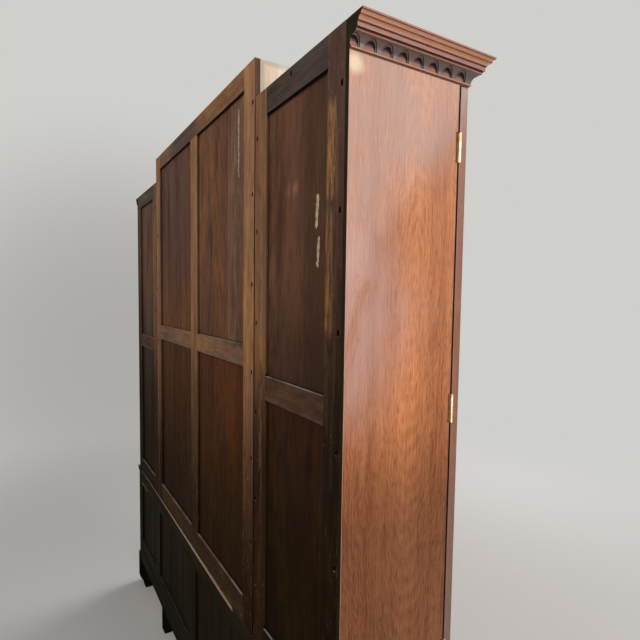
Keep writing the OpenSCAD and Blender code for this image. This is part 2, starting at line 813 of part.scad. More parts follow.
// Heights of the door panels: [lower, upper] pairs
function door_rows(z0, z1) = [
    [z0 + door_bottom_rail, z0 + door_mid_z],
    [z0 + door_mid_z + door_rail, z1 - door_rail]
];

module door_frame(w, z0, z1, bead) {
    rows = door_rows(z0, z1);
    difference() {
        box([0, door_front, z0], [door_stile, door_back, z1]);
        barrel_space(z0, z1);
    }
    box([w - door_stile, door_front, z0], [w, door_back, z1]);
    for (z = [[z0, rows[0][0]], [rows[0][1], rows[1][0]], [rows[1][1], z1]])
        board([door_stile, door_front, z[0]], [w - door_stile, door_back, z[1]], [1, 0, 0]);
    if (bead)
        translate([w - meeting_bead / 2, door_front, z0]) intersection() {
            cylinder(r = meeting_bead / 2, h = z1 - z0);
            translate([-meeting_bead, -meeting_bead, 0]) cube([2 * meeting_bead, meeting_bead, z1 - z0]);
        }
}

// Quarter-round moulding inside a panel opening, along +x
bead_edge = 2;
module panel_bead_run(length) {
    run(length, -1, -1, panel_bead) difference() {
        square([panel_bead, panel_bead - bead_edge / 2]);
        translate([panel_bead, panel_bead]) circle(r = panel_bead - bead_edge);
    }
}

// Door panels set in the frame, with the moulding planted around their fronts
module door_panels(w, z0, z1) {
    x0 = door_stile;
    x1 = w - door_stile;
    panel_front = door_back - door_panel_t;
    for (row = door_rows(z0, z1)) {
        box([x0, panel_front, row[0]], [x1, door_back, row[1]]);
        h = row[1] - row[0];
        translate([x0, panel_front - seam, row[0]]) rotate([90, 0, 0]) {
            translate([0, h, 0]) panel_bead_run(x1 - x0);
            translate([x1 - x0, 0, 0]) rotate([0, 0, 180]) panel_bead_run(x1 - x0);
            rotate([0, 0, 90]) panel_bead_run(h);
            translate([x1 - x0, h, 0]) rotate([0, 0, -90]) panel_bead_run(h);
        }
    }
}

leaf_start = barrel_r - hinge_out + turn_clear;

// Door leaf of a hinge with the middle knuckle and the pin
module door_leaf() {
    translate([-hinge_out, axis_y, 0]) {
        translate([0, 0, -knuckle_h / 2 + turn_clear / 2])
            cylinder(r = barrel_r, h = knuckle_h - turn_clear);
        translate([0, 0, -hinge_h / 2]) cylinder(r = hinge_pin_r, h = hinge_h);
    }
    box([leaf_start, door_back, -hinge_h / 2], [leaf_w, door_back + leaf_t, hinge_h / 2]);
    box([-hinge_out, door_back, -knuckle_h / 2 + turn_clear / 2],
        [leaf_w, door_back + leaf_t, knuckle_h / 2 - turn_clear / 2]);
}

// Case leaf with the two outer knuckles
module case_leaf() {
    difference() {
        union() {
            for (side = [0, 1])
                mirror([0, 0, side]) translate([0, 0, knuckle_h / 2 + turn_clear / 2]) {
                    translate([-hinge_out, axis_y, 0])
                        cylinder(r = barrel_r, h = knuckle_h - turn_clear / 2);
                    box([-hinge_out, -leaf_t, 0], [leaf_w, 0, knuckle_h - turn_clear / 2]);
                }
            box([leaf_start, -leaf_t, -hinge_h / 2], [leaf_w, 0, hinge_h / 2]);
        }
        translate([-hinge_out, axis_y, -hinge_h]) cylinder(r = hinge_pin_r + pin_clear, h = 2 * hinge_h);
    }
}

// Round key plate with its keyhole, on a face that looks towards -y
keyhole_r = 2.2;
keyhole_w = 2;
keyhole_drop = 6;
module key_plate() {
    difference() {
        rotate([90, 0, 0]) cylinder(r = key_plate_r, h = key_plate_t);
        translate([0, 1, keyhole_r]) rotate([90, 0, 0]) cylinder(r = keyhole_r, h = key_plate_t + 2);
        box([-keyhole_w / 2, -key_plate_t - 1, -keyhole_drop], [keyhole_w / 2, 1, keyhole_r]);
    }
}

lock_w = 36;
lock_h = 60;
lock_t = 12;
lock_inset = 26;
bolt_w = 12;
bolt_h = 90;
bolt_t = 2;
bolt_inset = 30;

// Hinge leaves of a door, and its lock and key plate or its two bolt plates
module door_brass(w, z0, z1, locked) {
    for (z = hinge_heights(z0, z1))
        translate([0, 0, z]) door_leaf();
    key_z = z0 + door_mid_z + door_rail / 2;
    if (locked) {
        translate([w - door_stile / 2, door_front, key_z]) key_plate();
        box([w - lock_inset - lock_w, door_back, key_z - lock_h / 2],
            [w - lock_inset, door_back + lock_t, key_z + lock_h / 2]);
    } else {
        for (z = [z0 + bolt_inset, z1 - bolt_inset - bolt_h])
            box([w - bolt_inset - bolt_w, door_back, z], [w - bolt_inset, door_back + bolt_t, z + bolt_h]);
    }
}

module at_left_wing_door() at_back() translate([-x_end, wing_case_front, 0]) children();
module at_left_centre_door() at_back() translate([-x_joint, centre_case_front, 0]) children();
module at_right_wing_door() mirror([1, 0, 0]) at_left_wing_door() children();
module at_right_centre_door() mirror([1, 0, 0]) at_left_centre_door() children();

module left_wing_door_frame() color(mahogany) at_left_wing_door()
    door_frame(wing_door_w, door_z0, wing_door_z1, false);
module left_wing_door_panels() color(mahogany) at_left_wing_door()
    door_panels(wing_door_w, door_z0, wing_door_z1);
module left_wing_door_brass() color(brass) at_left_wing_door()
    door_brass(wing_door_w, door_z0, wing_door_z1, true);
module right_wing_door_frame() color(mahogany) at_right_wing_door()
    door_frame(wing_door_w, door_z0, wing_door_z1, false);
module right_wing_door_panels() color(mahogany) at_right_wing_door()
    door_panels(wing_door_w, door_z0, wing_door_z1);
module right_wing_door_brass() color(brass) at_right_wing_door()
    door_brass(wing_door_w, door_z0, wing_door_z1, true);
module left_centre_door_frame() color(mahogany) at_left_centre_door()
    door_frame(centre_door_w, door_z0, centre_door_z1, false);
module left_centre_door_panels() color(mahogany) at_left_centre_door()
    door_panels(centre_door_w, door_z0, centre_door_z1);
module left_centre_door_brass() color(brass) at_left_centre_door()
    door_brass(centre_door_w, door_z0, centre_door_z1, false);
module right_centre_door_frame() color(mahogany) at_right_centre_door()
    door_frame(centre_door_w, door_z0, centre_door_z1, true);
module right_centre_door_panels() color(mahogany) at_right_centre_door()
    door_panels(centre_door_w, door_z0, centre_door_z1);
module right_centre_door_brass() color(brass) at_right_centre_door()
    door_brass(centre_door_w, door_z0, centre_door_z1, true);

module case_hinge_leaves() color(brass) at_back() both_sides() {
    for (z = hinge_heights(door_z0, wing_door_z1))
        translate([-x_end, wing_case_front, z]) case_leaf();
    for (z = hinge_heights(door_z0, centre_door_z1))
        translate([-x_joint, centre_case_front, z]) case_leaf();
}

// Drawers. Each is drawn with its front's face at y = 0, centred on x = 0 and
// standing on the floor of its bay at z = 0.

drawer_h = bay_h - 2 * drawer_gap;

module drawer(bay_w, depth) {
    w = bay_w - 2 * drawer_gap;
    inner = w / 2 - drawer_side_t;
    front_z = drawer_gap;
    side_z = drawer_rest;
    side_top = front_z + drawer_h - drawer_side_drop;
    back = depth - drawer_back_gap - back_t;
    bottom_z = side_z + drawer_bottom_z;
    box([-w / 2, 0, front_z], [w / 2, drawer_front_t - seam, front_z + drawer_h]);
    both_sides() box([-w / 2, drawer_front_t, side_z], [-inner, back, side_top]);
    board([-inner, back - drawer_side_t, bottom_z + drawer_bottom_t],
        [inner, back, side_top - drawer_side_drop], [1, 0, 1]);
    board([-inner, drawer_front_t, bottom_z], [inner, back, bottom_z + drawer_bottom_t], [1, 0, 0]);
    cockbeads(w, front_z, front_z + drawer_h);
}

module cockbeads(w, z0, z1) {
    both_sides() box([-w / 2, -cockbead_p, z0], [-w / 2 + cockbead_t, 0, z1]);
    for (z = [z0, z1 - cockbead_t])
        box([-w / 2 + cockbead_t, -cockbead_p, z], [w / 2 - cockbead_t, 0, z + cockbead_t]);
}

// Turned post with its round plate, standing along +z, as [radius, height]
rose_edge = 2;
post_edge = 1;
post_profile = [
    [0, 0], [rose_r, 0], [rose_r, rose_t / 2], [rose_r - rose_edge, rose_t],
    [post_r + post_edge, rose_t], [post_r, rose_t + rose_edge], [post_r, handle_out - post_head_r],
    [post_head_r, handle_out - post_head_r / 2], [post_head_r, handle_out + post_head_r / 2],
    [post_r, handle_out + post_head_r - post_edge], [0, handle_out + post_head_r]
];

// Two posts on round plates, with bores for the bail pins
module handle_posts() {
    both_sides() translate([handle_w / 2, 0, 0]) difference() {
        rotate([90, 0, 0]) rotate_extrude() polygon(post_profile);
        translate([-2 * post_head_r, -handle_out, 0]) rotate([0, 90, 0])
            cylinder(r = bail_pin_r + pin_clear, h = 4 * post_head_r);
    }
}

// Bail outline: its centre line bends at an elbow, a neck and a drop
elbow_r = 7;
neck_r = 9;
neck_turn = 60;
drop_r = 12;
bail_gap = 3.5;
pin_end_gap = 0.5;
pin_cap_extra = 0.6;
elbow_x = handle_w / 2 - post_head_r - bail_gap;
pin_cap_x = handle_w / 2 + post_head_r + pin_end_gap;
neck_x = elbow_x - elbow_r + neck_r;
drop_x = neck_x - neck_r * cos(neck_turn) - drop_r * cos(neck_turn);
drop_z = -elbow_r - neck_r * sin(neck_turn) - drop_r * sin(neck_turn);
bend_steps = 8;

// Points on an arc in the bail's plane
function arc(x, z, r, a, b) = [for (i = [0 : bend_steps]) [
    x + r * cos(a + (b - a) * i / bend_steps),
    z + r * sin(a + (b - a) * i / bend_steps)
]];

// One edge of half the bail, offset from the centre line by d
function bail_edge(d) = concat(
    arc(elbow_x, -elbow_r, elbow_r + d, 90, 180),
    arc(neck_x, -elbow_r, neck_r + d, 180, 180 + neck_turn),
    arc(drop_x, drop_z, drop_r - d, neck_turn, -90)
);
function flipped(points) = [for (i = [len(points) - 1 : -1 : 0]) [-points[i][0], points[i][1]]];
function backwards(points) = [for (i = [len(points) - 1 : -1 : 0]) points[i]];

// Swan-neck bail hanging from its pins
module bail() translate([0, -handle_out, 0]) {
    inner = bail_edge(-bail_r);
    outer = bail_edge(bail_r);
    translate([0, bail_r, 0]) rotate([90, 0, 0]) linear_extrude(2 * bail_r)
        polygon(concat(inner, flipped(inner), backwards(flipped(outer)), backwards(outer)));
    both_sides() {
        translate([elbow_x - bail_r, 0, 0]) rotate([0, 90, 0])
            cylinder(r = bail_pin_r, h = pin_cap_x + bail_r / 2 - elbow_x + bail_r);
        translate([pin_cap_x, 0, 0]) rotate([0, 90, 0])
            cylinder(r = bail_r + pin_cap_extra, h = bail_r);
    }
}

upper_bay_z = rail_z + drawer_rail_h;
handle_above_mid = 14;
key_below_top = 34;
handle_z = drawer_gap + drawer_h / 2 + handle_above_mid;
key_z = drawer_gap + drawer_h - key_below_top;
wing_bay_mid = -(x_joint + wing_bay_w / 2);

module at_wing_drawer(z) at_back() translate([wing_bay_mid, -wing_depth, z]) children();
module at_centre_drawer(z) at_back() translate([0, -centre_depth, z]) children();
module at_right_drawer(z) mirror([1, 0, 0]) at_wing_drawer(z) children();

module wing_drawer() drawer(wing_bay_w, wing_depth + back_ledge);
module centre_drawer() drawer(centre_bay_w, centre_depth + back_ledge);

// Key plate on a drawer's front, and the lock behind it
module drawer_lock() translate([0, 0, key_z]) {
    key_plate();
    box([-lock_h / 2, drawer_front_t, -lock_w / 2], [lock_h / 2, drawer_front_t + lock_t, lock_w / 2]);
}

module wing_drawer_brass() {
    translate([0, 0, handle_z]) handle_posts();
    drawer_lock();
}

module centre_drawer_brass() {
    both_sides() translate([long_handle_x, 0, handle_z]) handle_posts();
    drawer_lock();
}

module left_upper_drawer() color(mahogany) at_wing_drawer(upper_bay_z) wing_drawer();
module left_lower_drawer() color(mahogany) at_wing_drawer(base_floor) wing_drawer();
module right_upper_drawer() color(mahogany) at_right_drawer(upper_bay_z) wing_drawer();
module right_lower_drawer() color(mahogany) at_right_drawer(base_floor) wing_drawer();
module centre_upper_drawer() color(mahogany) at_centre_drawer(upper_bay_z) centre_drawer();
module centre_lower_drawer() color(mahogany) at_centre_drawer(base_floor) centre_drawer();
module left_upper_drawer_brass() color(brass) at_wing_drawer(upper_bay_z) wing_drawer_brass();
module left_lower_drawer_brass() color(brass) at_wing_drawer(base_floor) wing_drawer_brass();
module right_upper_drawer_brass() color(brass) at_right_drawer(upper_bay_z) wing_drawer_brass();
module right_lower_drawer_brass() color(brass) at_right_drawer(base_floor) wing_drawer_brass();
module centre_upper_drawer_brass() color(brass) at_centre_drawer(upper_bay_z) centre_drawer_brass();
module centre_lower_drawer_brass() color(brass) at_centre_drawer(base_floor) centre_drawer_brass();

module left_upper_bail() color(brass) at_wing_drawer(upper_bay_z + handle_z) bail();
module left_lower_bail() color(brass) at_wing_drawer(base_floor + handle_z) bail();
module right_upper_bail() color(brass) at_right_drawer(upper_bay_z + handle_z) bail();
module right_lower_bail() color(brass) at_right_drawer(base_floor + handle_z) bail();
module centre_upper_left_bail() color(brass)
    at_centre_drawer(upper_bay_z + handle_z) translate([-long_handle_x, 0, 0]) bail();
module centre_upper_right_bail() color(brass)
    at_centre_drawer(upper_bay_z + handle_z) translate([long_handle_x, 0, 0]) bail();
module centre_lower_left_bail() color(brass)
    at_centre_drawer(base_floor + handle_z) translate([-long_handle_x, 0, 0]) bail();
module centre_lower_right_bail() color(brass)
    at_centre_drawer(base_floor + handle_z) translate([long_handle_x, 0, 0]) bail();

base_case();
base_drawer_rails();
base_back_frame();
base_back_panels();
waist_moulding();
base_moulding();
bracket_feet();
back_screws();
case_hinge_leaves();
left_wing_case();
left_wing_shelves();
left_wing_back_frame();
left_wing_back_panels();
left_wing_cornice();
left_wing_arcade();
right_wing_case();
right_wing_shelves();
right_wing_back_frame();
right_wing_back_panels();
right_wing_cornice();
right_wing_arcade();
centre_case();
centre_shelves();
centre_back_frame();
centre_back_panels();
centre_cornice();
centre_arcade();
left_wing_door_frame();
left_wing_door_panels();
left_wing_door_brass();
right_wing_door_frame();
right_wing_door_panels();
right_wing_door_brass();
left_centre_door_frame();
left_centre_door_panels();
left_centre_door_brass();
right_centre_door_frame();
right_centre_door_panels();
right_centre_door_brass();
left_upper_drawer();
left_lower_drawer();
centre_upper_drawer();
centre_lower_drawer();
right_upper_drawer();
right_lower_drawer();
left_upper_drawer_brass();
left_lower_drawer_brass();
centre_upper_drawer_brass();
centre_lower_drawer_brass();
right_upper_drawer_brass();
right_lower_drawer_brass();
left_upper_bail();
left_lower_bail();
centre_upper_left_bail();
centre_upper_right_bail();
centre_lower_left_bail();
centre_lower_right_bail();
right_upper_bail();
right_lower_bail();
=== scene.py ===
"""Looks of the breakfront cabinet: its woods, metals, camera, light and floor.

Everything is in the part's frame, in metres: x runs along the back, z is the height above the
floor, and the doors and drawers face towards negative y. Colours are linear. The script adds no
shapes: it gives each board of the CAD model its material and rounds its edges.
"""

import math
from functools import cached_property
from typing import NamedTuple

import bpy
from mathutils import Matrix, Vector


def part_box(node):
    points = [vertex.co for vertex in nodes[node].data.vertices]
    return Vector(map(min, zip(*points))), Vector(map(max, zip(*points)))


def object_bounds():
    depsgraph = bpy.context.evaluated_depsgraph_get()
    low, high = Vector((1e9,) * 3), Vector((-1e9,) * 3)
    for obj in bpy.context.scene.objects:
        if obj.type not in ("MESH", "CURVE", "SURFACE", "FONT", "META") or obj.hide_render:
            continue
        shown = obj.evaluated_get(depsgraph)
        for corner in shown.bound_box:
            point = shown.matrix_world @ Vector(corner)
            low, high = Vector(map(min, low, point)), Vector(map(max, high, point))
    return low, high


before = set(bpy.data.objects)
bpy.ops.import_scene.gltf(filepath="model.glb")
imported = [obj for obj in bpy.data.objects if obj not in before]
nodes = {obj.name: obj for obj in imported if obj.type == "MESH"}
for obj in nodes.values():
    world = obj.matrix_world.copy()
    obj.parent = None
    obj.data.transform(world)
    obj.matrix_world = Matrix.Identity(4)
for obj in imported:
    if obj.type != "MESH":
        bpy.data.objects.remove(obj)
cad_low, cad_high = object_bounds()

# Planes of the part that boards are told apart by and that marks are placed from.
wing_low, wing_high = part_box("left_wing_case")
centre_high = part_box("centre_case")[1]
END_X = -wing_low.x
JOINT_X = centre_high.x
WING_MIDDLE_X = (END_X + JOINT_X) / 2
FOOT_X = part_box("bracket_feet")[1].x
BACK_Y = wing_high.y
WING_FRONT_Y = wing_low.y
WING_DOOR_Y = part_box("left_wing_door_frame")[0].y
CENTRE_BACK_Y = centre_high.y
WAIST_Z = wing_low.z
HALF_Z = cad_high.z / 2
WING_TOP_Z = wing_high.z
TOP_Z = centre_high.z

TOUCH = 0.002  # boards that end this close to a plane end at it
LEAST_PANEL = 0.1  # boards that are wider and higher than this count as panels


class Graph:
    """The nodes of a material or world, each added by a call that returns its output socket."""

    def __init__(self, owner):
        self.owner = owner
        self.owner.use_nodes = True
        self.tree = owner.node_tree
        self.tree.nodes.clear()

    def node(self, kind, **settings):
        made = self.tree.nodes.new(kind)
        for key, value in settings.items():
            setattr(made, key, value)
        return made

    def feed(self, socket, value):
        """Links a socket to another node's output, or sets its own value."""
        if isinstance(value, bpy.types.NodeSocket):
            self.tree.links.new(value, socket)
        elif value is not None:
            socket.default_value = value

    def tint(self, socket, colour):
        """Feeds a socket with another node's colour or with three numbers."""
        self.feed(socket, colour if isinstance(colour, bpy.types.NodeSocket) else (*colour, 1))

    def math(self, operation, a, b=None, c=None):
        made = self.node("ShaderNodeMath", operation=operation)
        for socket, value in zip(made.inputs, (a, b, c)):
            self.feed(socket, value)
        return made.outputs[0]

    def product(self, *factors):
        total = factors[0]
        for factor in factors[1:]:
            total = self.math("MULTIPLY", total, factor)
        return total

    def vector(self, operation, a, b=None):
        made = self.node("ShaderNodeVectorMath", operation=operation)
        self.feed(made.inputs[0], a)
        self.feed(made.inputs[1], b)
        is_number = operation in ("LENGTH", "DISTANCE", "DOT_PRODUCT")
        return made.outputs["Value" if is_number else "Vector"]

    def seen(self):
        """1 for what the camera sees, directly or mirrored, and 0 for what lights the part."""
        path = self.node("ShaderNodeLightPath").outputs
        mirrored = self.math("MAXIMUM", path["Is Glossy Ray"], path["Is Transmission Ray"])
        return self.math("MAXIMUM", path["Is Camera Ray"], mirrored)

    def place(self):
        """Where the point is on the part at rest."""
        return self.node("ShaderNodeTexCoord").outputs["Object"]

    def split(self, vector):
        made = self.node("ShaderNodeSeparateXYZ")
        self.feed(made.inputs[0], vector)
        return made.outputs

    def joined(self, parts):
        made = self.node("ShaderNodeCombineXYZ")
        for socket, part in zip(made.inputs, parts):
            self.feed(socket, part)
        return made.outputs[0]

    def noise(self, vector, scale, detail=3.0, roughness=0.5, distortion=0.0):
        """A pattern between 0 and 1. The scale is how many cells it has in a metre, each way."""
        made = self.node("ShaderNodeTexNoise")
        self.feed(made.inputs["Vector"], self.vector("MULTIPLY", vector, scale))
        made.inputs["Scale"].default_value = 1.0
        made.inputs["Detail"].default_value = detail
        made.inputs["Roughness"].default_value = roughness
        made.inputs["Distortion"].default_value = distortion
        return made.outputs["Fac"]

    def remap(self, value, low, high, to_low=0.0, to_high=1.0):
        """A smooth step from to_low, where the value is low, to to_high, where it is high."""
        made = self.node("ShaderNodeMapRange", interpolation_type="SMOOTHSTEP")
        self.feed(made.inputs["Value"], value)
        made.inputs["From Min"].default_value = low
        made.inputs["From Max"].default_value = high
        made.inputs["To Min"].default_value = to_low
        made.inputs["To Max"].default_value = to_high
        return made.outputs["Result"]

    def blend(self, share, a, b):
        """Colour a where the share is 0, and b where it is 1."""
        made = self.node("ShaderNodeMix", data_type="RGBA")
        self.feed(made.inputs["Factor"], share)
        colours = [s for s in made.inputs if s.type == "RGBA"]
        for socket, value in zip(colours, (a, b)):
            self.tint(socket, value)
        return [s for s in made.outputs if s.type == "RGBA"][0]

    def glow(self, kind, colour):
        """A shader that has a colour and no other setting."""
        made = self.node(kind)
        self.tint(made.inputs["Color"], colour)
        return made.outputs[0]

    def mixed(self, share, a, b):
        """Shader a where the share is 0, and b where it is 1."""
        made = self.node("ShaderNodeMixShader")
        for socket, value in zip(made.inputs, (share, a, b)):
            self.feed(socket, value)
        return made.outputs[0]

    def close(self, shader, kind="ShaderNodeOutputMaterial"):
        self.feed(self.node(kind).inputs[0], shader)
        return self.owner

    def surface(self, height, strength, depth, **inputs):
        """Closes the graph with one bumped shader, whose sockets are named without their spaces."""
        shader = self.node("ShaderNodeBsdfPrincipled")
        sockets = {s.name.replace(" ", ""): s for s in shader.inputs}
        for key, value in inputs.items():
            self.feed(sockets[key], value)
        bump = self.node("ShaderNodeBump")
        bump.inputs["Strength"].default_value = strength
        bump.inputs["Distance"].default_value = depth
        self.feed(bump.inputs["Height"], height)
        self.feed(shader.inputs["Normal"], bump.outputs[0])
        return self.close(shader.outputs[0])


# The order of a place's parts that puts the one along the board last.
GRAIN_ORDER = {"x": (2, 1, 0), "y": (0, 2, 1), "z": (0, 1, 2)}
# The grain's patterns: the cells that each has in a metre, across the board twice and then along
# it, and its detail, roughness and distortion.
GRAINS = {
    "fibre": ((230.0, 230.0, 12.0), 4.0, 0.65),
    "streak": ((42.0, 42.0, 1.1), 3.0, 0.6, 0.2),
    "band": ((11.0, 11.0, 0.45), 2.0, 0.5, 0.3),
    "mottle": ((65.0, 65.0, 15.0), 5.0, 0.65, 0.4),
    "pore": ((430.0, 430.0, 45.0), 2.0, 0.5),
    "hue": ((8.5, 8.5, 2.4), 4.0, 0.6, 0.4),
    "gilt": ((26.0, 26.0, 0.55), 3.0, 0.6),
    "stain": ((9.0, 9.0, 1.3), 4.0, 0.6, 0.6),
    "scratch": ((520.0, 520.0, 17.0), 2.0, 0.6),
    "patch": ((85.0, 85.0, 13.0), 5.0, 0.75),
}
# Patterns that run over all boards alike: the cells that each has in a metre along x, y and z,
# and its detail, roughness and distortion.
OVERLAYS = {
    "blotch": ((4.2, 4.2, 2.2), 3.0, 0.55),
    "specks": ((160.0, 160.0, 60.0), 2.0, 0.7),
    "cloud": ((11.0, 11.0, 7.0), 5.0, 0.6, 0.5),
    "swirl": ((9.0, 9.0, 3.0), 3.0, 0.6),
    "scraps": ((260.0, 260.0, 60.0), 3.0, 0.7),
}
ARCH_TURN = 980.0  # radians in a metre across the arched grain, so about 156 arches
ARCH_STRETCH = 0.16  # an arch's width over its length
ARCH_WANDER = 0.12
SCRAP_EDGE = 0.04
FLAT_SPAN = (0.99, 0.95)  # of the largest part of a face's direction, from flat to rounded
FACING_SPAN = (0.6, 0.9)


class Board:
    """The grain of the boards that run along one axis, and where their faces look."""

    def __init__(self, graph, axis):
        self.graph = graph
        self.place = graph.place()
        parts = graph.split(self.place)
        self.x, self.y, self.z = parts
        self.point = graph.joined([parts[index] for index in GRAIN_ORDER[axis]])
        self.made = {}

    @cached_property
    def facing(self):
        """The x, y and z of the way that the face looks."""
        return self.graph.split(self.graph.node("ShaderNodeNewGeometry").outputs["True Normal"])

    def pattern(self, name):
        """One of the patterns above, made once for each material."""
        if name not in self.made:
            if name in GRAINS:
                self.made[name] = self.graph.noise(self.point, *GRAINS[name])
            else:
                self.made[name] = self.graph.noise(self.place, *OVERLAYS[name])
        return self.made[name]

    def tuned(self, name, low, high, to_low=0.0, to_high=1.0):
        """One of the patterns above, remapped."""
        return self.graph.remap(self.pattern(name), low, high, to_low, to_high)

    def rings(self, scale):
        """Year rings around the board's length, about three times scale of them in a metre."""
        g = self.graph
        wave = g.node("ShaderNodeTexWave", wave_type="RINGS", rings_direction="Z")
        wave.inputs["Scale"].default_value = scale
        wave.inputs["Distortion"].default_value = 4.0
        wave.inputs["Detail"].default_value = 2.0
        wave.inputs["Detail Scale"].default_value = 0.7
        g.feed(wave.inputs["Vector"], g.vector("MULTIPLY", self.point, (1.0, 1.0, 0.13)))
        return wave.outputs["Fac"]

    def figure(self, y, z):
        """Nested arches of grain around a place on a board that faces along x."""
        g = self.graph
        across = g.math("SUBTRACT", self.y, y)
        along = g.math("MULTIPLY", g.math("SUBTRACT", self.z, z), ARCH_STRETCH)
        wander = g.math("SUBTRACT", self.pattern("swirl"), 0.5)
        across = g.math("MULTIPLY_ADD", wander, ARCH_WANDER, across)
        away = g.math("SQRT", g.math("ADD", g.product(across, across), g.product(along, along)))
        wave = g.math("SINE", g.math("MULTIPLY", away, ARCH_TURN))
        return g.math("MULTIPLY_ADD", wave, 0.5, 0.5)

    def share(self, base, *terms):
        """base plus each (pattern or value, weight), where 0.5 adds nothing, within 0 and 1."""
        g = self.graph
        total = base
        for value, weight in terms:
            if isinstance(value, str):
                value = self.pattern(value)
            total = g.math("MULTIPLY_ADD", g.math("SUBTRACT", value, 0.5), weight, total)
        return g.math("MAXIMUM", g.math("MINIMUM", total, 1.0), 0.0)

    def arris(self):
        """1 on rounded edges, 0 on faces that look straight along x, y or z."""
        widest = None
        for part in self.facing:
            size = self.graph.math("ABSOLUTE", part)
            widest = size if widest is None else self.graph.math("MAXIMUM", widest, size)
        return self.graph.remap(widest, *FLAT_SPAN)

    def faces(self, axis, sign):
        """1 where the board faces along an axis, in the direction of sign."""
        value = self.graph.math("MULTIPLY", self.facing["xyz".index(axis)], float(sign))
        return self.graph.remap(value, *FACING_SPAN)

    def open(self, reach):
        """How open the space within reach of the point is: 1 in the open, 0 in a hole."""
        made = self.graph.node("ShaderNodeAmbientOcclusion", samples=8)
        made.inputs["Distance"].default_value = reach
        return made.outputs["AO"]

    def within(self, x, z, edge=0.003, broken=0.0, lean=0.0):
        """1 inside a range of x and z with soft edges, in scraps if it is broken.

        The range moves along x by lean for each metre up.
        """
        g = self.graph
        terms = []
        from_middle = g.math("SUBTRACT", self.z, (z[0] + z[1]) / 2)
        upright = g.math("MULTIPLY_ADD", from_middle, -lean, self.x)
        for value, span in ((upright, x), (self.z, z)):
            terms.append(g.remap(value, span[0] - edge, span[0] + edge))
            terms.append(g.remap(value, span[1] + edge, span[1] - edge))
        inside = g.product(*terms)
        if broken:
            scraps = g.math("MULTIPLY", inside, self.pattern("scraps"))
            return g.remap(scraps, broken - SCRAP_EDGE, broken + SCRAP_EDGE)
        return inside


def times(colour, factor):
    """The colour times one factor, or times one for each of its parts."""
    factors = factor if isinstance(factor, tuple) else (factor,) * 3
    return tuple(c * f for c, f in zip(colour, factors))


made_materials = {}


def kept(make):
    """Makes each material once for each set of arguments."""

    def wrapped(*arguments):
        key = "_".join((make.__name__,) + arguments)
        if key not in made_materials:
            made_materials[key] = make(key, *arguments)
        return made_materials[key]

    return wrapped


class Shown(NamedTuple):
    """The looks of one polished wood."""

    mean: tuple
    polish: float = 1.0  # weight of the coat
    gloss: float = 0.5  # specular level under the coat
    ring_scale: float = 9.0
    ring_weight: float = 0.12
    low_z: float = 0.90  # the height by which the painted shade lower down is at its darkest
    low_share: float = 0.5
    recess: float = 0.0  # how far the painted shade in its hollows reaches, or 0 on flat boards
    worn: tuple = (0.66, 0.42, 0.28)  # colour of rubbed edges, also a painted highlight along them
    most_worn: float = 0.8
    back: tuple = (0.024, 0.018, 0.012)  # colour of the faces towards the wall, unfinished wood darkened further as painted shade
    dust: float = 0.0  # how much dust hides the upward faces


SHOWN = {
    "end": Shown((0.45, 0.152, 0.052), gloss=0.12, low_z=1.12, low_share=0.80, dust=1.0),
    "show": Shown((0.38, 0.125, 0.052)),
    "flame": Shown((0.40, 0.140, 0.060), ring_scale=5.0, ring_weight=0.7),
    "moulding": Shown(
        (0.28, 0.080, 0.031),
        polish=0.25,
        recess=0.012,
        worn=(0.72, 0.36, 0.19),
        most_worn=0.65,
        dust=0.3,
    ),
    "arcade": Shown(
        (0.060, 0.028, 0.020),
        polish=0.7,
        recess=0.020,
        worn=(0.50, 0.36, 0.30),
        most_worn=0.12,
    ),
    "foot": Shown((0.30, 0.105, 0.048), back=(0.009, 0.008, 0.006)),
}
WHITE = (1.0, 1.0, 1.0)
GRAIN_DARK = (0.50, 0.36, 0.25)  # these two are factors of the mean
GRAIN_LIGHT = (1.44, 1.56, 1.60)
FIGURE_PLACE = (0.045, 1.60)  # y and z of the arched grain on the end boards
LOW_START_Z = 1.45
# Painted shade on the lower part of polished wood, tinted blue as a painted reflection of the floor.
LOW_SHADE = (0.31, 0.35, 0.50)
# Painted shade in the hollows of mouldings: a first darkening, then near black deep inside.
RECESS_SHADE = (0.55, 0.36, 0.32)
HOLLOW_SHADE = (0.012, 0.007, 0.005)
SHINE_Z = (1.15, 1.6)  # heights between which the end boards begin to shine
FOOT_INNER_X = (FOOT_X - 0.009, FOOT_X - 0.013)
FOOT_REAR_Y = (0.10, 0.14)
SHOWN_DUST = (0.24, 0.17, 0.13)


def shown_grain(b, look, tone):
    """The wood's colour with painted shade lower down, and how light its grain is at each point."""
    g = b.graph
    terms = [("fibre", 1.0), ("streak", 0.35), ("band", 0.35), ("mottle", 0.6)]
    terms.append((b.rings(look.ring_scale), look.ring_weight))
    if tone == "end":
        terms.append((b.figure(*FIGURE_PLACE), 0.18))
        terms.extend([("blotch", 0.55), ("band", 0.45), ("streak", 0.3)])
    share = b.share(0.5, *terms)
    colour = g.blend(share, times(look.mean, GRAIN_DARK), times(look.mean, GRAIN_LIGHT))
    colour = g.blend(b.tuned("pore", 0.54, 0.66, 0.0, 0.5), colour, times(look.mean, 0.25))
    # Painted shade, from nothing at LOW_START_Z to its full share at low_z.
    low = g.remap(b.z, LOW_START_Z, look.low_z, 0.0, look.low_share)
    return g.vector("MULTIPLY", colour, g.blend(low, WHITE, LOW_SHADE)), share


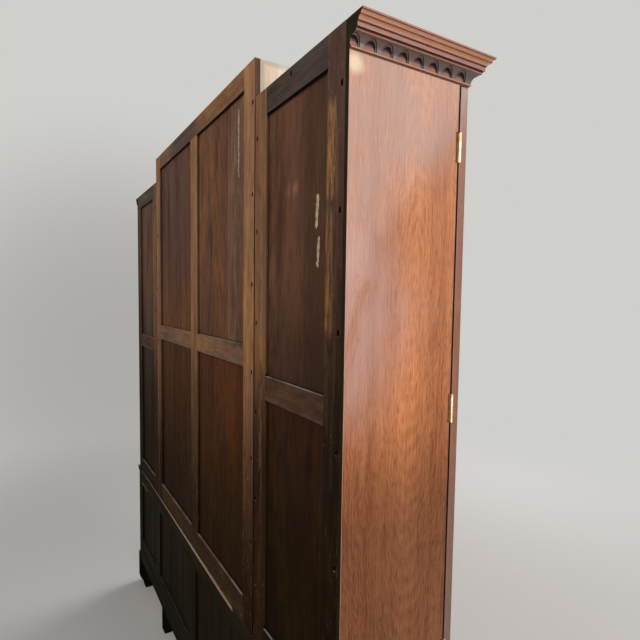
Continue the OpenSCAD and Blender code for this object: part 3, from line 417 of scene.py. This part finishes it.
def worn_edges(b, colour, look):
    """Painted shade in a moulding's hollows and its rubbed edges, or the rubbed edges of a flat board;
    the rubbed edges are also painted highlights.
    """
    g = b.graph
    if look.recess:
        # Painted shade in the hollows.
        space = b.open(look.recess)
        colour = g.blend(g.remap(space, 0.98, 0.80), colour, times(look.mean, RECESS_SHADE))
        colour = g.blend(g.remap(space, 0.85, 0.55, 0.0, 0.95), colour, HOLLOW_SHADE)
        rubbed = g.remap(space, 0.7, 0.95, 0.0, look.most_worn)
    else:
        rubbed = b.tuned("blotch", 0.35, 0.6, 0.25, look.most_worn)
    # Rubbed edges, also painted as highlights.
    return g.blend(g.product(b.arris(), rubbed), colour, look.worn)


SHEEN_SPAN = (1.87, 2.02)  # of y + z: the painted sheen is above a line that falls towards the back
REAR_WIDEST_Z = 1.6  # where the painted sheen along the back edge is widest
REAR_Y = (-0.06, 0.17)
REAR_Z = (1.22, LOW_START_Z)
SHEEN_DARK = (0.66, 0.88, 1.5)  # these two are factors of the mean, for the colour of the painted reflection
SHEEN_LIGHT = (0.95, 1.32, 2.5)
SHEEN_CHANGE_Z = (1.85, 1.65)
SHEEN_HIGH = (0.94, 0.95, 0.97)  # these two are factors of the painted reflection, above that change and below
SHEEN_LOW = (1.25, 1.45, 1.8)
# A painted highlight below the cornice, at the end boards' back corner.
HIGHLIGHT_PLACE = Vector((0.0, BACK_Y - 0.013, WING_TOP_Z - 0.080))
HIGHLIGHT_SPAN = (0.028, 0.006)  # how far from it the painted highlight begins, and is at its strongest
HIGHLIGHT_COLOUR = (0.72, 0.60, 0.36)
# How far the painted shade in narrow gaps reaches.
GAP_REACH = 0.012
RIM_Y = (WING_FRONT_Y + 0.0019, WING_FRONT_Y + 0.0013)
RIM_Z = (WAIST_Z - 0.011, WAIST_Z + 0.009)


def end_bloom(b, colour, share, mean):
    """A painted sheen, a reflection painted on the upper part of the end boards, and a painted yellow
    highlight in its corner.
    """
    g = b.graph
    wander = g.math("SUBTRACT", b.pattern("blotch"), 0.5)
    upper = g.math("MULTIPLY_ADD", wander, 0.5, g.math("ADD", b.y, b.z))
    upper = g.math("MULTIPLY", g.remap(upper, *SHEEN_SPAN), 0.95)
    from_widest = g.math("ABSOLUTE", g.math("SUBTRACT", b.z, REAR_WIDEST_Z))
    rear = g.math("MULTIPLY_ADD", from_widest, -0.5, b.y)
    rear = g.product(g.remap(rear, *REAR_Y), g.remap(b.z, *REAR_Z))
    clouded = b.tuned("cloud", 0.36, 0.56, 0.45, 1.0)
    # Painted reflection over the upper part and along the back edge.
    sheen = g.product(g.math("MAXIMUM", upper, rear), clouded)
    reflected = g.blend(share, times(mean, SHEEN_DARK), times(mean, SHEEN_LIGHT))
    change = g.blend(g.remap(b.z, *SHEEN_CHANGE_Z), SHEEN_HIGH, SHEEN_LOW)
    colour = g.blend(sheen, colour, g.vector("MULTIPLY", reflected, change))
    flat = g.vector("MULTIPLY", b.place, (0.0, 1.0, 1.0))
    # Painted highlight.
    from_highlight = g.vector("DISTANCE", flat, HIGHLIGHT_PLACE)
    return g.blend(g.remap(from_highlight, *HIGHLIGHT_SPAN, 0.0, 0.7), colour, HIGHLIGHT_COLOUR)


def end_front(b, colour, mean):
    """Painted shade in the gap beside the doors, on the end boards' front edges, and along a rim at the
    waist.
    """
    g = b.graph
    gap_shade = g.product(b.faces("y", -1), g.remap(b.open(GAP_REACH), 0.6, 0.3))
    rim_shade = g.product(g.remap(b.y, *RIM_Y), g.remap(b.z, *RIM_Z))
    dark = g.math("MULTIPLY", g.math("MAXIMUM", gap_shade, rim_shade), 0.9)
    return g.blend(dark, colour, times(mean, 0.06))


def shown_back(b, tone):
    """1 on the faces towards the wall, and on the inner faces of the rear feet, which get painted
    shade.
    """
    g = b.graph
    back = b.faces("y", 1)
    if tone == "foot":
        # Painted shade on the inner faces of the rear feet.
        shaded_inner = g.remap(g.math("ABSOLUTE", b.x), *FOOT_INNER_X)
        shaded_inner = g.math("MULTIPLY", shaded_inner, g.remap(b.y, *FOOT_REAR_Y))
        back = g.math("MAXIMUM", back, shaded_inner)
    return back


@kept
def polished(key, axis, tone):
    """Polished mahogany of the faces that are meant to be seen."""
    look = SHOWN[tone]
    g = Graph(bpy.data.materials.new(key))
    b = Board(g, axis)
    colour, share = shown_grain(b, look, tone)
    colour = worn_edges(b, colour, look)
    if tone == "end":
        colour = end_bloom(b, colour, share, look.mean)
        colour = end_front(b, colour, look.mean)
    if tone == "show":
        # Painted shade on the door frames' faces towards negative x.
        sides = g.math("MULTIPLY", b.faces("x", -1), 0.35)
        colour = g.blend(sides, colour, times(look.mean, 0.1))
    back = shown_back(b, tone)
    colour = g.blend(back, colour, look.back)
    coat = g.remap(back, 0.0, 1.0, look.polish, 0.0)
    gloss = g.remap(back, 0.0, 1.0, look.gloss, 0.0)
    if tone == "end":
        shine = g.remap(b.z, *SHINE_Z, 0.2, 1.0)
        coat = g.math("MULTIPLY", coat, shine)
        gloss = g.math("MULTIPLY", gloss, shine)
    dull = back
    if look.dust:
        top = b.faces("z", 1)
        colour = g.blend(g.remap(top, 0.0, 1.0, 0.0, look.dust), colour, SHOWN_DUST)
        coat = g.math("MULTIPLY", coat, g.remap(top, 0.0, 1.0, 1.0, 0.0))
        gloss = g.math("MULTIPLY", gloss, g.remap(top, 0.0, 1.0, 1.0, 0.2))
        dull = g.math("MAXIMUM", back, top)
    return g.surface(
        height=g.math("ADD", b.pattern("fibre"), g.math("MULTIPLY", b.pattern("pore"), -0.7)),
        strength=0.10,
        depth=0.0005,
        BaseColor=colour,
        Roughness=g.math("MAXIMUM", b.tuned("blotch", 0.3, 0.7, 0.30, 0.42), dull),
        SpecularIORLevel=gloss,
        CoatWeight=coat,
        CoatRoughness=b.tuned("blotch", 0.3, 0.7, 0.12, 0.18),
    )


class Rough(NamedTuple):
    """The looks of one rough wood, from a tone near the top to another lower down; the change stands in
    for how the light falls off with height.
    """

    upper: tuple
    lower: tuple
    fade: tuple  # the heights where the tone starts to change and where it has changed, as painted light and shade
    worn: tuple  # tone of the worn streaks
    cover: float  # how strongly they show
    wander: float = 0.9  # how far the hue changes along the board
    dust: tuple = (0.40, 0.35, 0.28)
    sides: tuple = ()  # painted shade on the faces towards negative x, near the top and lower down


ROUGH = {
    "gold": Rough(
        (0.300, 0.150, 0.070),
        (0.031, 0.016, 0.005),
        (1.60, 0.80),
        (0.42, 0.24, 0.12),
        0.7,
        sides=((0.045, 0.032, 0.026), (0.010, 0.007, 0.005)),
    ),
    "grey": Rough((0.215, 0.122, 0.068), (0.056, 0.030, 0.013), (1.40, 0.90), (0.30, 0.18, 0.10), 0.6),
    "tan": Rough((0.200, 0.098, 0.048), (0.030, 0.012, 0.004), (1.60, 1.15), (0.30, 0.16, 0.08), 0.6),
    "bistre": Rough(
        (0.084, 0.045, 0.030), (0.016, 0.009, 0.003), (2.00, 1.30), (0.17, 0.09, 0.05), 0.3
    ),
    "umber": Rough((0.078, 0.040, 0.024), (0.018, 0.010, 0.004), (1.40, 0.80), (0.17, 0.09, 0.05), 0.4),
    "slate": Rough(
        (0.072, 0.052, 0.042), (0.030, 0.018, 0.012), (1.75, 0.45), (0.12, 0.08, 0.05), 0.4, 0.35
    ),
    "maroon": Rough(
        (0.110, 0.045, 0.027), (0.150, 0.062, 0.018), (1.75, 1.45), (0.22, 0.11, 0.05), 0.4
    ),
    "plum": Rough(
        (0.138, 0.061, 0.032), (0.053, 0.024, 0.014), (1.75, 1.40), (0.16, 0.09, 0.05), 0.3, 0.35
    ),
    "sienna": Rough(
        (0.145, 0.062, 0.031), (0.10, 0.045, 0.022), (1.70, 1.40), (0.24, 0.12, 0.05), 0.45
    ),
    "russet": Rough(
        (0.084, 0.027, 0.008), (0.030, 0.015, 0.004), (1.45, 0.80), (0.12, 0.05, 0.02), 0.35
    ),
    "soot": Rough(
        (0.034, 0.013, 0.005), (0.019, 0.011, 0.003), (1.30, 0.90), (0.07, 0.03, 0.013), 0.35
    ),
    "coal": Rough(
        (0.019, 0.014, 0.006),
        (0.015, 0.011, 0.006),
        (0.60, 0.20),
        (0.035, 0.024, 0.012),
        0.3,
        wander=0.35,
        dust=(0.06, 0.052, 0.042),
    ),
}
SHADE_DARK = (0.006, 0.004, 0.003)  # painted shade, with some dirt, in holes, gaps and under boards
AMBER = (1.36, 1.28, 0.92)  # these two are factors of the wood's tone
WINE = (0.86, 0.72, 0.95)
GILT_Z = (0.8, 1.8)  # heights between which the worn streaks begin to show; lower down they fade as part of the painted shade
PROUD_Y = (BACK_Y - 0.0045, BACK_Y - 0.0025)  # ledges as far out as this keep their dust
DUST_Z = (1.10, 1.25)  # and all ledges above this
ROUGH_GLOSS_Z = (0.9, 2.0)
ROUGH_GLOSS = (0.008, 0.05)  # the specular level at these two heights

# Places of the marks on single boards, as ranges of x and z on the back.
CHIP_UPPER = dict(x=(-0.889, -0.873), z=(1.767, 1.845), edge=0.009, broken=0.37, lean=-0.084)
CHIP_LOWER = dict(x=(-0.895, -0.880), z=(1.683, 1.754), edge=0.010, broken=0.36, lean=-0.084)
SCUFF = dict(x=(-0.798, -0.730), z=(1.860, 1.882), edge=0.016)
SHADED_X = (-0.76, -0.86)
STRIP_X = (-0.346, -0.354)
SEAM = dict(x=(-0.352, -0.348), z=(1.50, 2.18), edge=0.001)
DRIP = dict(x=(-0.442, -0.424), z=(1.96, 2.16), edge=0.010, broken=0.42)
RUB_UPPER = dict(x=(-0.962, -0.932), z=(1.82, 2.01), edge=0.014)
RUB_LOWER = dict(x=(-0.955, -0.925), z=(1.55, 1.80), edge=0.014)
STAIN_X = ((-0.12, 0.0), (0.36, 0.22))  # where it sets in at either end
BARE_START_X = (-0.43, -0.41)
BARE_DEPTH = (0.99, -0.40, 0.0015, 0.013)  # from one x to another, and how deep it is at each
STROKE = dict(x=(0.79, 0.99), z=(0.598, 0.606), edge=0.003)
SHADED_COLOUR = (0.030, 0.015, 0.010)
CHIP_COLOUR = (0.46, 0.35, 0.22)
SCUFF_COLOUR = (0.28, 0.14, 0.07)
STRIP_SHADE = (1.26, 1.52, 1.68)  # a factor of the wood's tone
SEAM_COLOUR = (0.25, 0.16, 0.09)
DRIP_COLOUR = (0.36, 0.29, 0.22)
RUB_COLOUR = (0.36, 0.175, 0.062)
STAIN_COLOUR = (0.055, 0.036, 0.029)
BARE_COLOUR = (0.46, 0.31, 0.19)
STROKE_COLOUR = (0.40, 0.18, 0.08)


def wing_marks(b, colour):
    """A darker side, two chips and a scuff on a wing's upper panel."""
    g = b.graph
    colour = g.blend(g.remap(b.x, *SHADED_X, 0.0, 0.55), colour, SHADED_COLOUR)
    chips = g.math("MAXIMUM", b.within(**CHIP_UPPER), b.within(**CHIP_LOWER))
    colour = g.blend(chips, colour, CHIP_COLOUR)
    scuff = g.product(b.within(**SCUFF), b.tuned("mottle", 0.42, 0.62, 0.15, 0.85))
    return g.blend(scuff, colour, SCUFF_COLOUR)


def centre_marks(b, colour):
    """A greyer strip, the seam beside it and a drip on the centre's upper panel."""
    g = b.graph
    grey = g.vector("MULTIPLY", colour, STRIP_SHADE)
    colour = g.blend(g.remap(b.x, *STRIP_X), colour, grey)
    colour = g.blend(g.math("MULTIPLY", b.within(**SEAM), 0.5), colour, SEAM_COLOUR)
    return g.blend(b.within(**DRIP), colour, DRIP_COLOUR)


def stile_marks(b, colour):
    """Golden rubbed patches on a wing's outer stile."""
    g = b.graph
    rubbed = g.math("MAXIMUM", b.within(**RUB_UPPER), g.product(b.within(**RUB_LOWER), 0.6))
    rubbed = g.math("MULTIPLY", rubbed, b.tuned("patch", 0.38, 0.60))
    return g.blend(rubbed, colour, RUB_COLOUR)


def rail_marks(b, colour):
    """A dark stain on the centre's top rail."""
    g = b.graph
    stain = g.product(*(g.remap(b.x, *span) for span in STAIN_X))
    stain = g.product(stain, b.tuned("mottle", 0.40, 0.52, 0.45, 1.0), 0.85)
    return g.blend(stain, colour, STAIN_COLOUR)


def ledge_marks(b, colour):
    """Bare wood along the low back's upper edge, wider towards the near end, and a stroke."""
    g = b.graph
    depth = g.math("DIVIDE", g.math("SUBTRACT", WAIST_Z, b.z), g.remap(b.x, *BARE_DEPTH))
    bare = g.product(
        g.remap(depth, 1.1, 0.8), g.remap(b.x, *BARE_START_X), b.tuned("streak", 0.3, 0.5, 0.5, 1.0)
    )
    colour = g.blend(bare, colour, BARE_COLOUR)
    return g.blend(g.math("MULTIPLY", b.within(**STROKE), 0.8), colour, STROKE_COLOUR)


MARKS = {
    "plain": lambda b, colour: colour,
    "wing": wing_marks,
    "centre": centre_marks,
    "stile": stile_marks,
    "rail": rail_marks,
    "ledge": ledge_marks,
}


def rough_grain(b, look, drop):
    """Streaked and stained wood, whose hue wanders between amber and wine, going from the upper to the
    lower tone as the painted light falls off.
    """
    g = b.graph
    light = g.blend(drop, look.upper, look.lower)
    dark = g.blend(drop, times(look.upper, 0.42), times(look.lower, 0.5))
    amber, wine = g.vector("MULTIPLY", light, AMBER), g.vector("MULTIPLY", light, WINE)
    light = g.blend(b.tuned("hue", 0.50, 0.62, 0.0, look.wander), light, amber)
    light = g.blend(b.tuned("hue", 0.49, 0.38, 0.0, look.wander), light, wine)
    terms = (("fibre", 1.2), ("streak", 1.3), ("band", 0.9), ("mottle", 2.3), ("blotch", 0.9))
    colour = g.blend(b.share(0.74, *terms), dark, light)
    gilt = b.tuned("gilt", 0.50, 0.66, 0.0, look.cover)
    # The streaks fade lower down as part of the painted shade there.
    higher = g.remap(b.z, *GILT_Z, 0.10, 1.0)
    gilt = g.product(gilt, higher, b.tuned("mottle", 0.38, 0.56), 1.1)
    colour = g.blend(gilt, colour, look.worn)
    colour = g.blend(b.tuned("stain", 0.53, 0.68, 0.0, 0.70), colour, times(look.upper, 0.22))
    return g.blend(b.tuned("specks", 0.68, 0.74, 0.0, 0.5), colour, times(look.worn, 1.5))


@kept
def rough(key, axis, tone, which="plain"):
    """Unpolished dark wood of the back: streaked, stained, dusty where it faces upwards, with painted
    shade under boards, in gaps and lower down.
    """
    look = ROUGH[tone]
    g = Graph(bpy.data.materials.new(key))
    b = Board(g, axis)
    # Painted light and shade with height: 0 near the top, 1 lower down.
    drop = g.remap(b.z, *look.fade)
    colour = MARKS[which](b, rough_grain(b, look, drop))
    # Painted shade on the faces towards negative x.
    sides = g.math("MULTIPLY", b.faces("x", -1), 0.8)
    side_shades = look.sides or (times(look.worn, 0.4), times(look.worn, 0.15))
    colour = g.blend(sides, colour, g.blend(drop, *side_shades))
    scratch = g.product(b.tuned("scratch", 0.66, 0.74), b.tuned("blotch", 0.45, 0.6), 0.55)
    colour = g.blend(scratch, colour, times(look.worn, 1.6))
    # Rubbed edges, lightened also as painted highlights.
    edge = g.product(b.arris(), b.tuned("blotch", 0.35, 0.6, 0.15, 0.7))
    colour = g.blend(edge, colour, times(look.worn, 1.5))
    proud = g.math("MAXIMUM", g.remap(b.y, *PROUD_Y, 0.25, 1.0), g.remap(b.z, *DUST_Z))
    dusty = g.product(b.faces("z", 1), proud, b.tuned("mottle", 0.35, 0.6, 0.4, 1.0))
    colour = g.blend(dusty, colour, look.dust)
    # Painted shade under the boards.
    colour = g.blend(g.math("MULTIPLY", b.faces("z", -1), 0.9), colour, SHADE_DARK)
    # Painted shade and dirt in holes and in the gaps between boards, less where dust lies.
    crevice_shade = g.remap(b.open(GAP_REACH), 0.80, 0.45, 0.0, 0.95)
    crevice_shade = g.product(crevice_shade, g.remap(dusty, 0.0, 1.0, 1.0, 0.2))
    colour = g.blend(crevice_shade, colour, SHADE_DARK)
    return g.surface(
        height=g.math("ADD", b.pattern("fibre"), b.pattern("mottle")),
        strength=0.4,
        depth=0.0008,
        BaseColor=colour,
        Roughness=b.tuned("streak", 0.35, 0.65, 0.48, 0.70),
        SpecularIORLevel=g.remap(b.z, *ROUGH_GLOSS_Z, *ROUGH_GLOSS),
    )


# The light and the dark tone of each pale wood.
PALE = {
    "raw": ((0.95, 0.82, 0.63), (0.56, 0.42, 0.28)),
    "inside": ((0.50, 0.34, 0.20), (0.30, 0.18, 0.10)),
    "drawer": ((0.56, 0.40, 0.25), (0.36, 0.23, 0.13)),
}
PALE_RING_SCALE = 12.0
# Painted shade on the centre's raw ends, along their back and upper edges.
RAW_SHADE_Y = (CENTRE_BACK_Y - 0.016, CENTRE_BACK_Y - 0.008)
RAW_SHADE_Z = (TOP_Z - 0.019, TOP_Z - 0.004)
RAW_SHADE_TINT = (0.68, 0.76, 0.85)
# Polished front edges: their light and dark tone, and where the centre's ends stand forward.
LIPPING = ((0.33, 0.118, 0.050), (0.20, 0.060, 0.024))
LIPPED_X = (JOINT_X - 0.009, JOINT_X - 0.003)
LIPPED_Y = (WING_DOOR_Y + 0.002, WING_DOOR_Y)
LIPPED_Z = (0.1, 0.15)


@kept
def pale(key, axis, tone):
    """Plain light wood of the insides and of the centre's ends above the wings."""
    light, dark = PALE[tone]
    g = Graph(bpy.data.materials.new(key))
    b = Board(g, axis)
    rings = b.rings(PALE_RING_SCALE)
    share = b.share(0.35, ("fibre", 0.9), ("streak", 1.0), ("band", 0.8), (rings, 0.35))
    colour = g.blend(share, light, dark)
    colour = g.blend(b.tuned("pore", 0.60, 0.74, 0.0, 0.5), colour, times(dark, 0.6))
    if tone == "raw":
        # Painted shade along the back and upper edges.
        raw_shade = g.math("MAXIMUM", g.remap(b.y, *RAW_SHADE_Y), g.remap(b.z, *RAW_SHADE_Z))
        colour = g.blend(raw_shade, colour, g.vector("MULTIPLY", colour, RAW_SHADE_TINT))
    if tone != "drawer":
        sides = g.remap(g.math("ABSOLUTE", b.x), *LIPPED_X)
        seen = g.product(sides, g.remap(b.y, *LIPPED_Y), g.remap(b.z, *LIPPED_Z))
        seen = g.math("MAXIMUM", b.faces("y", -1), seen)
        colour = g.blend(seen, colour, g.blend(share, *LIPPING))
    return g.surface(
        height=b.pattern("fibre"),
        strength=0.2,
        depth=0.0005,
        BaseColor=colour,
        Roughness=b.tuned("streak", 0.35, 0.65, 0.55, 0.72),
        SpecularIORLevel=0.35,
    )


# Each metal: its tarnished tone, its rubbed tone, how rough the rubbed metal is, how metallic.
METALS = {
    "brass": ((0.62, 0.47, 0.26), (0.84, 0.72, 0.48), 0.30, 1.0),
    "iron": ((0.006, 0.005, 0.004), (0.030, 0.022, 0.018), 0.55, 0.5),
}
TARNISH_ROUGHNESS = 0.14


@kept
def metal(key, tone):
    """Worn metal, tarnished in patches."""
    dark, light, roughness, metallic = METALS[tone]
    g = Graph(bpy.data.materials.new(key))
    place = g.place()
    patch = g.noise(place, (90.0, 90.0, 90.0), 4.0, 0.6)
    fine = g.noise(place, (900.0, 900.0, 900.0), 2.0, 0.5)
    return g.surface(
        height=fine,
        strength=0.1,
        depth=0.0003,
        BaseColor=g.blend(g.remap(patch, 0.35, 0.60), dark, light),
        Metallic=metallic,
        Roughness=g.remap(patch, 0.3, 0.7, roughness + TARNISH_ROUGHNESS, roughness),
    )


def islands(mesh):
    """The mesh's loose parts as lists of polygons, each with the box that it fills.

    Corners at one place count as one, as the mesh is split along its sharp edges.
    """
    number_at = {}
    number = []
    for v in mesh.vertices:
        key = tuple(round(c, 6) for c in v.co)
        number.append(number_at.setdefault(key, len(number_at)))
    group = list(range(len(number_at)))

    def root(i):
        while group[i] != i:
            group[i] = group[group[i]]
            i = group[i]
        return i

    for poly in mesh.polygons:
        first = root(number[poly.vertices[0]])
        for index in poly.vertices[1:]:
            group[root(number[index])] = first
    found = {}
    for poly in mesh.polygons:
        found.setdefault(root(number[poly.vertices[0]]), []).append(poly)
    parts = []
    for polys in found.values():
        points = [mesh.vertices[i].co for poly in polys for i in poly.vertices]
        low = Vector(min(p[k] for p in points) for k in range(3))
        high = Vector(max(p[k] for p in points) for k in range(3))
        parts.append((polys, low, high))
    return parts


def paint(obj, choose):
    """Gives each loose part of a CAD node the material that choose picks from its box."""
    mesh = obj.data
    mesh.materials.clear()
    index_of = {}
    for polys, low, high in islands(mesh):
        material = choose(low, high)
        if material.name not in index_of:
            index_of[material.name] = len(mesh.materials)
            mesh.materials.append(material)
        for poly in polys:
            poly.material_index = index_of[material.name]


BEVEL_ANGLE = 40  # degrees; flatter edges stay as they are
WELD_DISTANCE = 1e-6


def soften(obj, width):
    """Joins the split corners, rounds the sharp edges and shades flat faces flat."""
    weld = obj.modifiers.new("weld", "WELD")
    weld.merge_threshold = WELD_DISTANCE
    bevel = obj.modifiers.new("edges", "BEVEL")
    bevel.width = width
    bevel.segments = 2
    bevel.limit_method = "ANGLE"
    bevel.angle_limit = math.radians(BEVEL_ANGLE)
    bevel.use_clamp_overlap = True
    obj.modifiers.new("shading", "WEIGHTED_NORMAL")


def long_axis(low, high):
    size = high - low
    return "xyz"[max(range(3), key=lambda k: size[k])]


def is_panel(low, high):
    return min(high.x - low.x, high.z - low.z) > LEAST_PANEL


def near(value, plane):
    return abs(value - plane) < TOUCH


def grained(make, tone):
    """Chooses a wood that runs along each board."""
    return lambda low, high: make(long_axis(low, high), tone)


def only(make, *arguments):
    """Chooses one material for all loose parts."""
    return lambda low, high: make(*arguments)


def wing_back_board(low, high):
    if long_axis(low, high) == "x":
        return rough("x", "slate" if near(high.z, WING_TOP_Z) else "umber")
    if abs(low.x + high.x) / 2 < WING_MIDDLE_X:
        return rough("z", "tan")
    return rough("z", "bistre", "stile")


def wing_panel(low, high):
    return rough("z", "plum", "wing") if low.z > HALF_Z else rough("z", "soot")


def centre_back_board(low, high):
    if long_axis(low, high) == "z":
        return rough("z", "gold")
    return rough("x", "tan", "rail") if near(high.z, TOP_Z) else rough("x", "grey")


def centre_panel(low, high):
    if low.z < HALF_Z:
        return rough("z", "russet")
    return rough("z", "sienna", "centre") if low.x + high.x < 0 else rough("z", "maroon")


def base_back_board(low, high):
    axis = long_axis(low, high)
    if axis == "x" and near(high.z, WAIST_Z):
        return rough("x", "coal", "ledge")
    return rough(axis, "coal")


def case_board(low, high):
    """The polished end boards, the centre's raw ends, and the plain boards inside."""
    axis = long_axis(low, high)
    if axis == "z" and near(max(-low.x, high.x), END_X):
        return polished("z", "end")
    return pale(axis, "raw" if axis == "z" and near(high.z, TOP_Z) else "inside")


def door_panel(low, high):
    """The flamed panel, and the mouldings around it."""
    if is_panel(low, high):
        return polished("z", "flame")
    return polished(long_axis(low, high), "moulding")


def drawer_board(low, high):
    """The flamed front, and the plain sides, back and bottom behind it."""
    if is_panel(low, high) and high.y < 0:
        return polished("x", "flame")
    return pale(long_axis(low, high), "drawer")


# By the end of a node's name: how its boards choose their material, and how wide their edges
# are rounded.
PAINTS = {
    "wing_back_frame": (wing_back_board, 0.0009),
    "wing_back_panels": (wing_panel, 0.0005),
    "centre_back_frame": (centre_back_board, 0.0009),
    "centre_back_panels": (centre_panel, 0.0005),
    "base_back_frame": (base_back_board, 0.0009),
    "base_back_panels": (only(rough, "z", "coal"), 0.0005),
    "_case": (case_board, 0.0008),
    "_shelves": (grained(pale, "inside"), 0.0008),
    "_door_frame": (grained(polished, "show"), 0.0008),
    "_door_panels": (door_panel, 0.0005),
    "_drawer": (drawer_board, 0.0008),
    "_brass": (only(metal, "brass"), 0.0003),
    "_bail": (only(metal, "brass"), 0.0008),
    "hinge_leaves": (only(metal, "brass"), 0.0003),
    "back_screws": (only(metal, "iron"), 0.0002),
    "bracket_feet": (grained(polished, "foot"), 0.0007),
    "_arcade": (grained(polished, "arcade"), 0.0005),
    "": (grained(polished, "moulding"), 0.0007),
}


def dress(name, obj):
    choose, width = next(look for end, look in PAINTS.items() if name.endswith(end))
    paint(obj, choose)
    soften(obj, width)


# The camera, as worked out from the photo's own lines.
CAMERA_PLACE = (-1.7846, 0.746, 1.6216)
YAW, PITCH, ROLL = math.radians(30.87), math.radians(3.76), math.radians(0.78)
LENS, SENSOR = 27.48, 36.0  # millimetres
SHIFT = (0.0031, 0.0155)
CLIP_START = 0.05


def make_camera():
    camera = bpy.data.objects.new("camera", bpy.data.cameras.new("camera"))
    bpy.context.scene.collection.objects.link(camera)
    bpy.context.scene.camera = camera
    camera.data.sensor_width = SENSOR
    camera.data.lens = LENS
    camera.data.shift_x, camera.data.shift_y = SHIFT
    camera.data.clip_start = CLIP_START
    forward = Vector(
        (math.cos(PITCH) * math.cos(YAW), -math.cos(PITCH) * math.sin(YAW), -math.sin(PITCH))
    )
    level = forward.cross(Vector((0, 0, 1))).normalized()
    above = level.cross(forward)
    right = level * math.cos(ROLL) + above * math.sin(ROLL)
    top = above * math.cos(ROLL) - level * math.sin(ROLL)
    turn = Matrix((right, top, -forward)).transposed().to_4x4()
    camera.matrix_world = Matrix.Translation(CAMERA_PLACE) @ turn


# Each lamp: where it is, where it aims, its size, power, tint, and its roll and spread in degrees.
LAMPS = {
    "key": ((-3.6, -0.75, 3.0), (-1.0, 0.1, 1.5), 2.8, 70.0, (1.0, 0.98, 0.97), 62.0, 180.0),
    "side": ((-3.3, 1.0, 1.2), (-1.0, 0.1, 1.9), 1.2, 9.0, (1.0, 0.98, 0.96), 0.0, 100.0),
    "back": ((-1.0, 2.3, 3.3), (0.0, 0.2, 1.6), 1.6, 42.0, (1.0, 0.98, 0.96), 0.0, 180.0),
    "front": ((1.6, -4.2, 3.0), (0.2, -0.1, 1.1), 2.6, 110.0, (1.0, 0.98, 0.97), 0.0, 180.0),
}


def make_lamp(name, place, aim, size, power, tint, roll, spread):
    light = bpy.data.lights.new(name, "AREA")
    light.shape = "SQUARE"
    light.size = size
    light.energy = power
    light.color = tint
    light.spread = math.radians(spread)
    obj = bpy.data.objects.new(name, light)
    obj.location = place
    aimed = (Vector(aim) - Vector(place)).to_track_quat("-Z", "Y").to_matrix()
    obj.rotation_euler = (aimed @ Matrix.Rotation(math.radians(roll), 3, "Z")).to_euler()
    bpy.context.scene.collection.objects.link(obj)


BACKGROUND = (0.63, 0.625, 0.60)
SHADED_BACKGROUND = (0.41, 0.40, 0.385)
SHADED_WAY = (0.981, -0.155, -0.118)  # the way to the darkest place, from the camera
SHADE_SPAN = (0.89, 1.01)  # of the cosine to that way
WORLD_LIGHT = (0.15, 0.15, 0.15)
FLOOR_COLOUR = (0.80, 0.79, 0.77)
FLOOR_REACH = 40.0
FLOOR_FADE = (1.5, 4.5)  # distances at which the floor begins to be backdrop and is all backdrop


def backdrop(g, direction):
    """The pale backdrop's colour in a direction from the camera's place, darker at its far end."""
    toward = g.vector("DOT_PRODUCT", direction, SHADED_WAY)
    return g.blend(g.remap(toward, *SHADE_SPAN), BACKGROUND, SHADED_BACKGROUND)


def make_world():
    """A dim grey light all around, and the backdrop where the world itself is seen."""
    world = bpy.data.worlds.new("studio")
    bpy.context.scene.world = world
    g = Graph(world)
    direction = g.node("ShaderNodeTexCoord").outputs["Generated"]
    shown = g.glow("ShaderNodeBackground", backdrop(g, direction))
    lighting = g.glow("ShaderNodeBackground", WORLD_LIGHT)
    g.close(g.mixed(g.seen(), lighting, shown), "ShaderNodeOutputWorld")


def make_floor():
    """A pale floor that keeps the part's shadow and turns into the backdrop further away."""
    reach = FLOOR_REACH
    corners = [(-reach, -reach, 0), (reach, -reach, 0), (reach, reach, 0), (-reach, reach, 0)]
    mesh = bpy.data.meshes.new("floor")
    mesh.from_pydata(corners, [], [(0, 1, 2, 3)])
    floor = bpy.data.objects.new("floor", mesh)
    bpy.context.scene.collection.objects.link(floor)
    g = Graph(bpy.data.materials.new("floor"))
    distance = g.vector("LENGTH", g.vector("MULTIPLY", g.place(), (1.0, 1.0, 0.0)))
    from_camera = g.vector("NORMALIZE", g.vector("SUBTRACT", g.place(), CAMERA_PLACE))
    lit = g.glow("ShaderNodeBsdfDiffuse", FLOOR_COLOUR)
    far = g.glow("ShaderNodeEmission", backdrop(g, from_camera))
    share = g.math("MULTIPLY", g.remap(distance, *FLOOR_FADE), g.seen())
    mesh.materials.append(g.close(g.mixed(share, lit, far)))


for name, obj in nodes.items():
    dress(name, obj)
make_camera()
for name, settings in LAMPS.items():
    make_lamp(name, *settings)
make_world()
make_floor()
bpy.context.scene.view_settings.view_transform = "Standard"
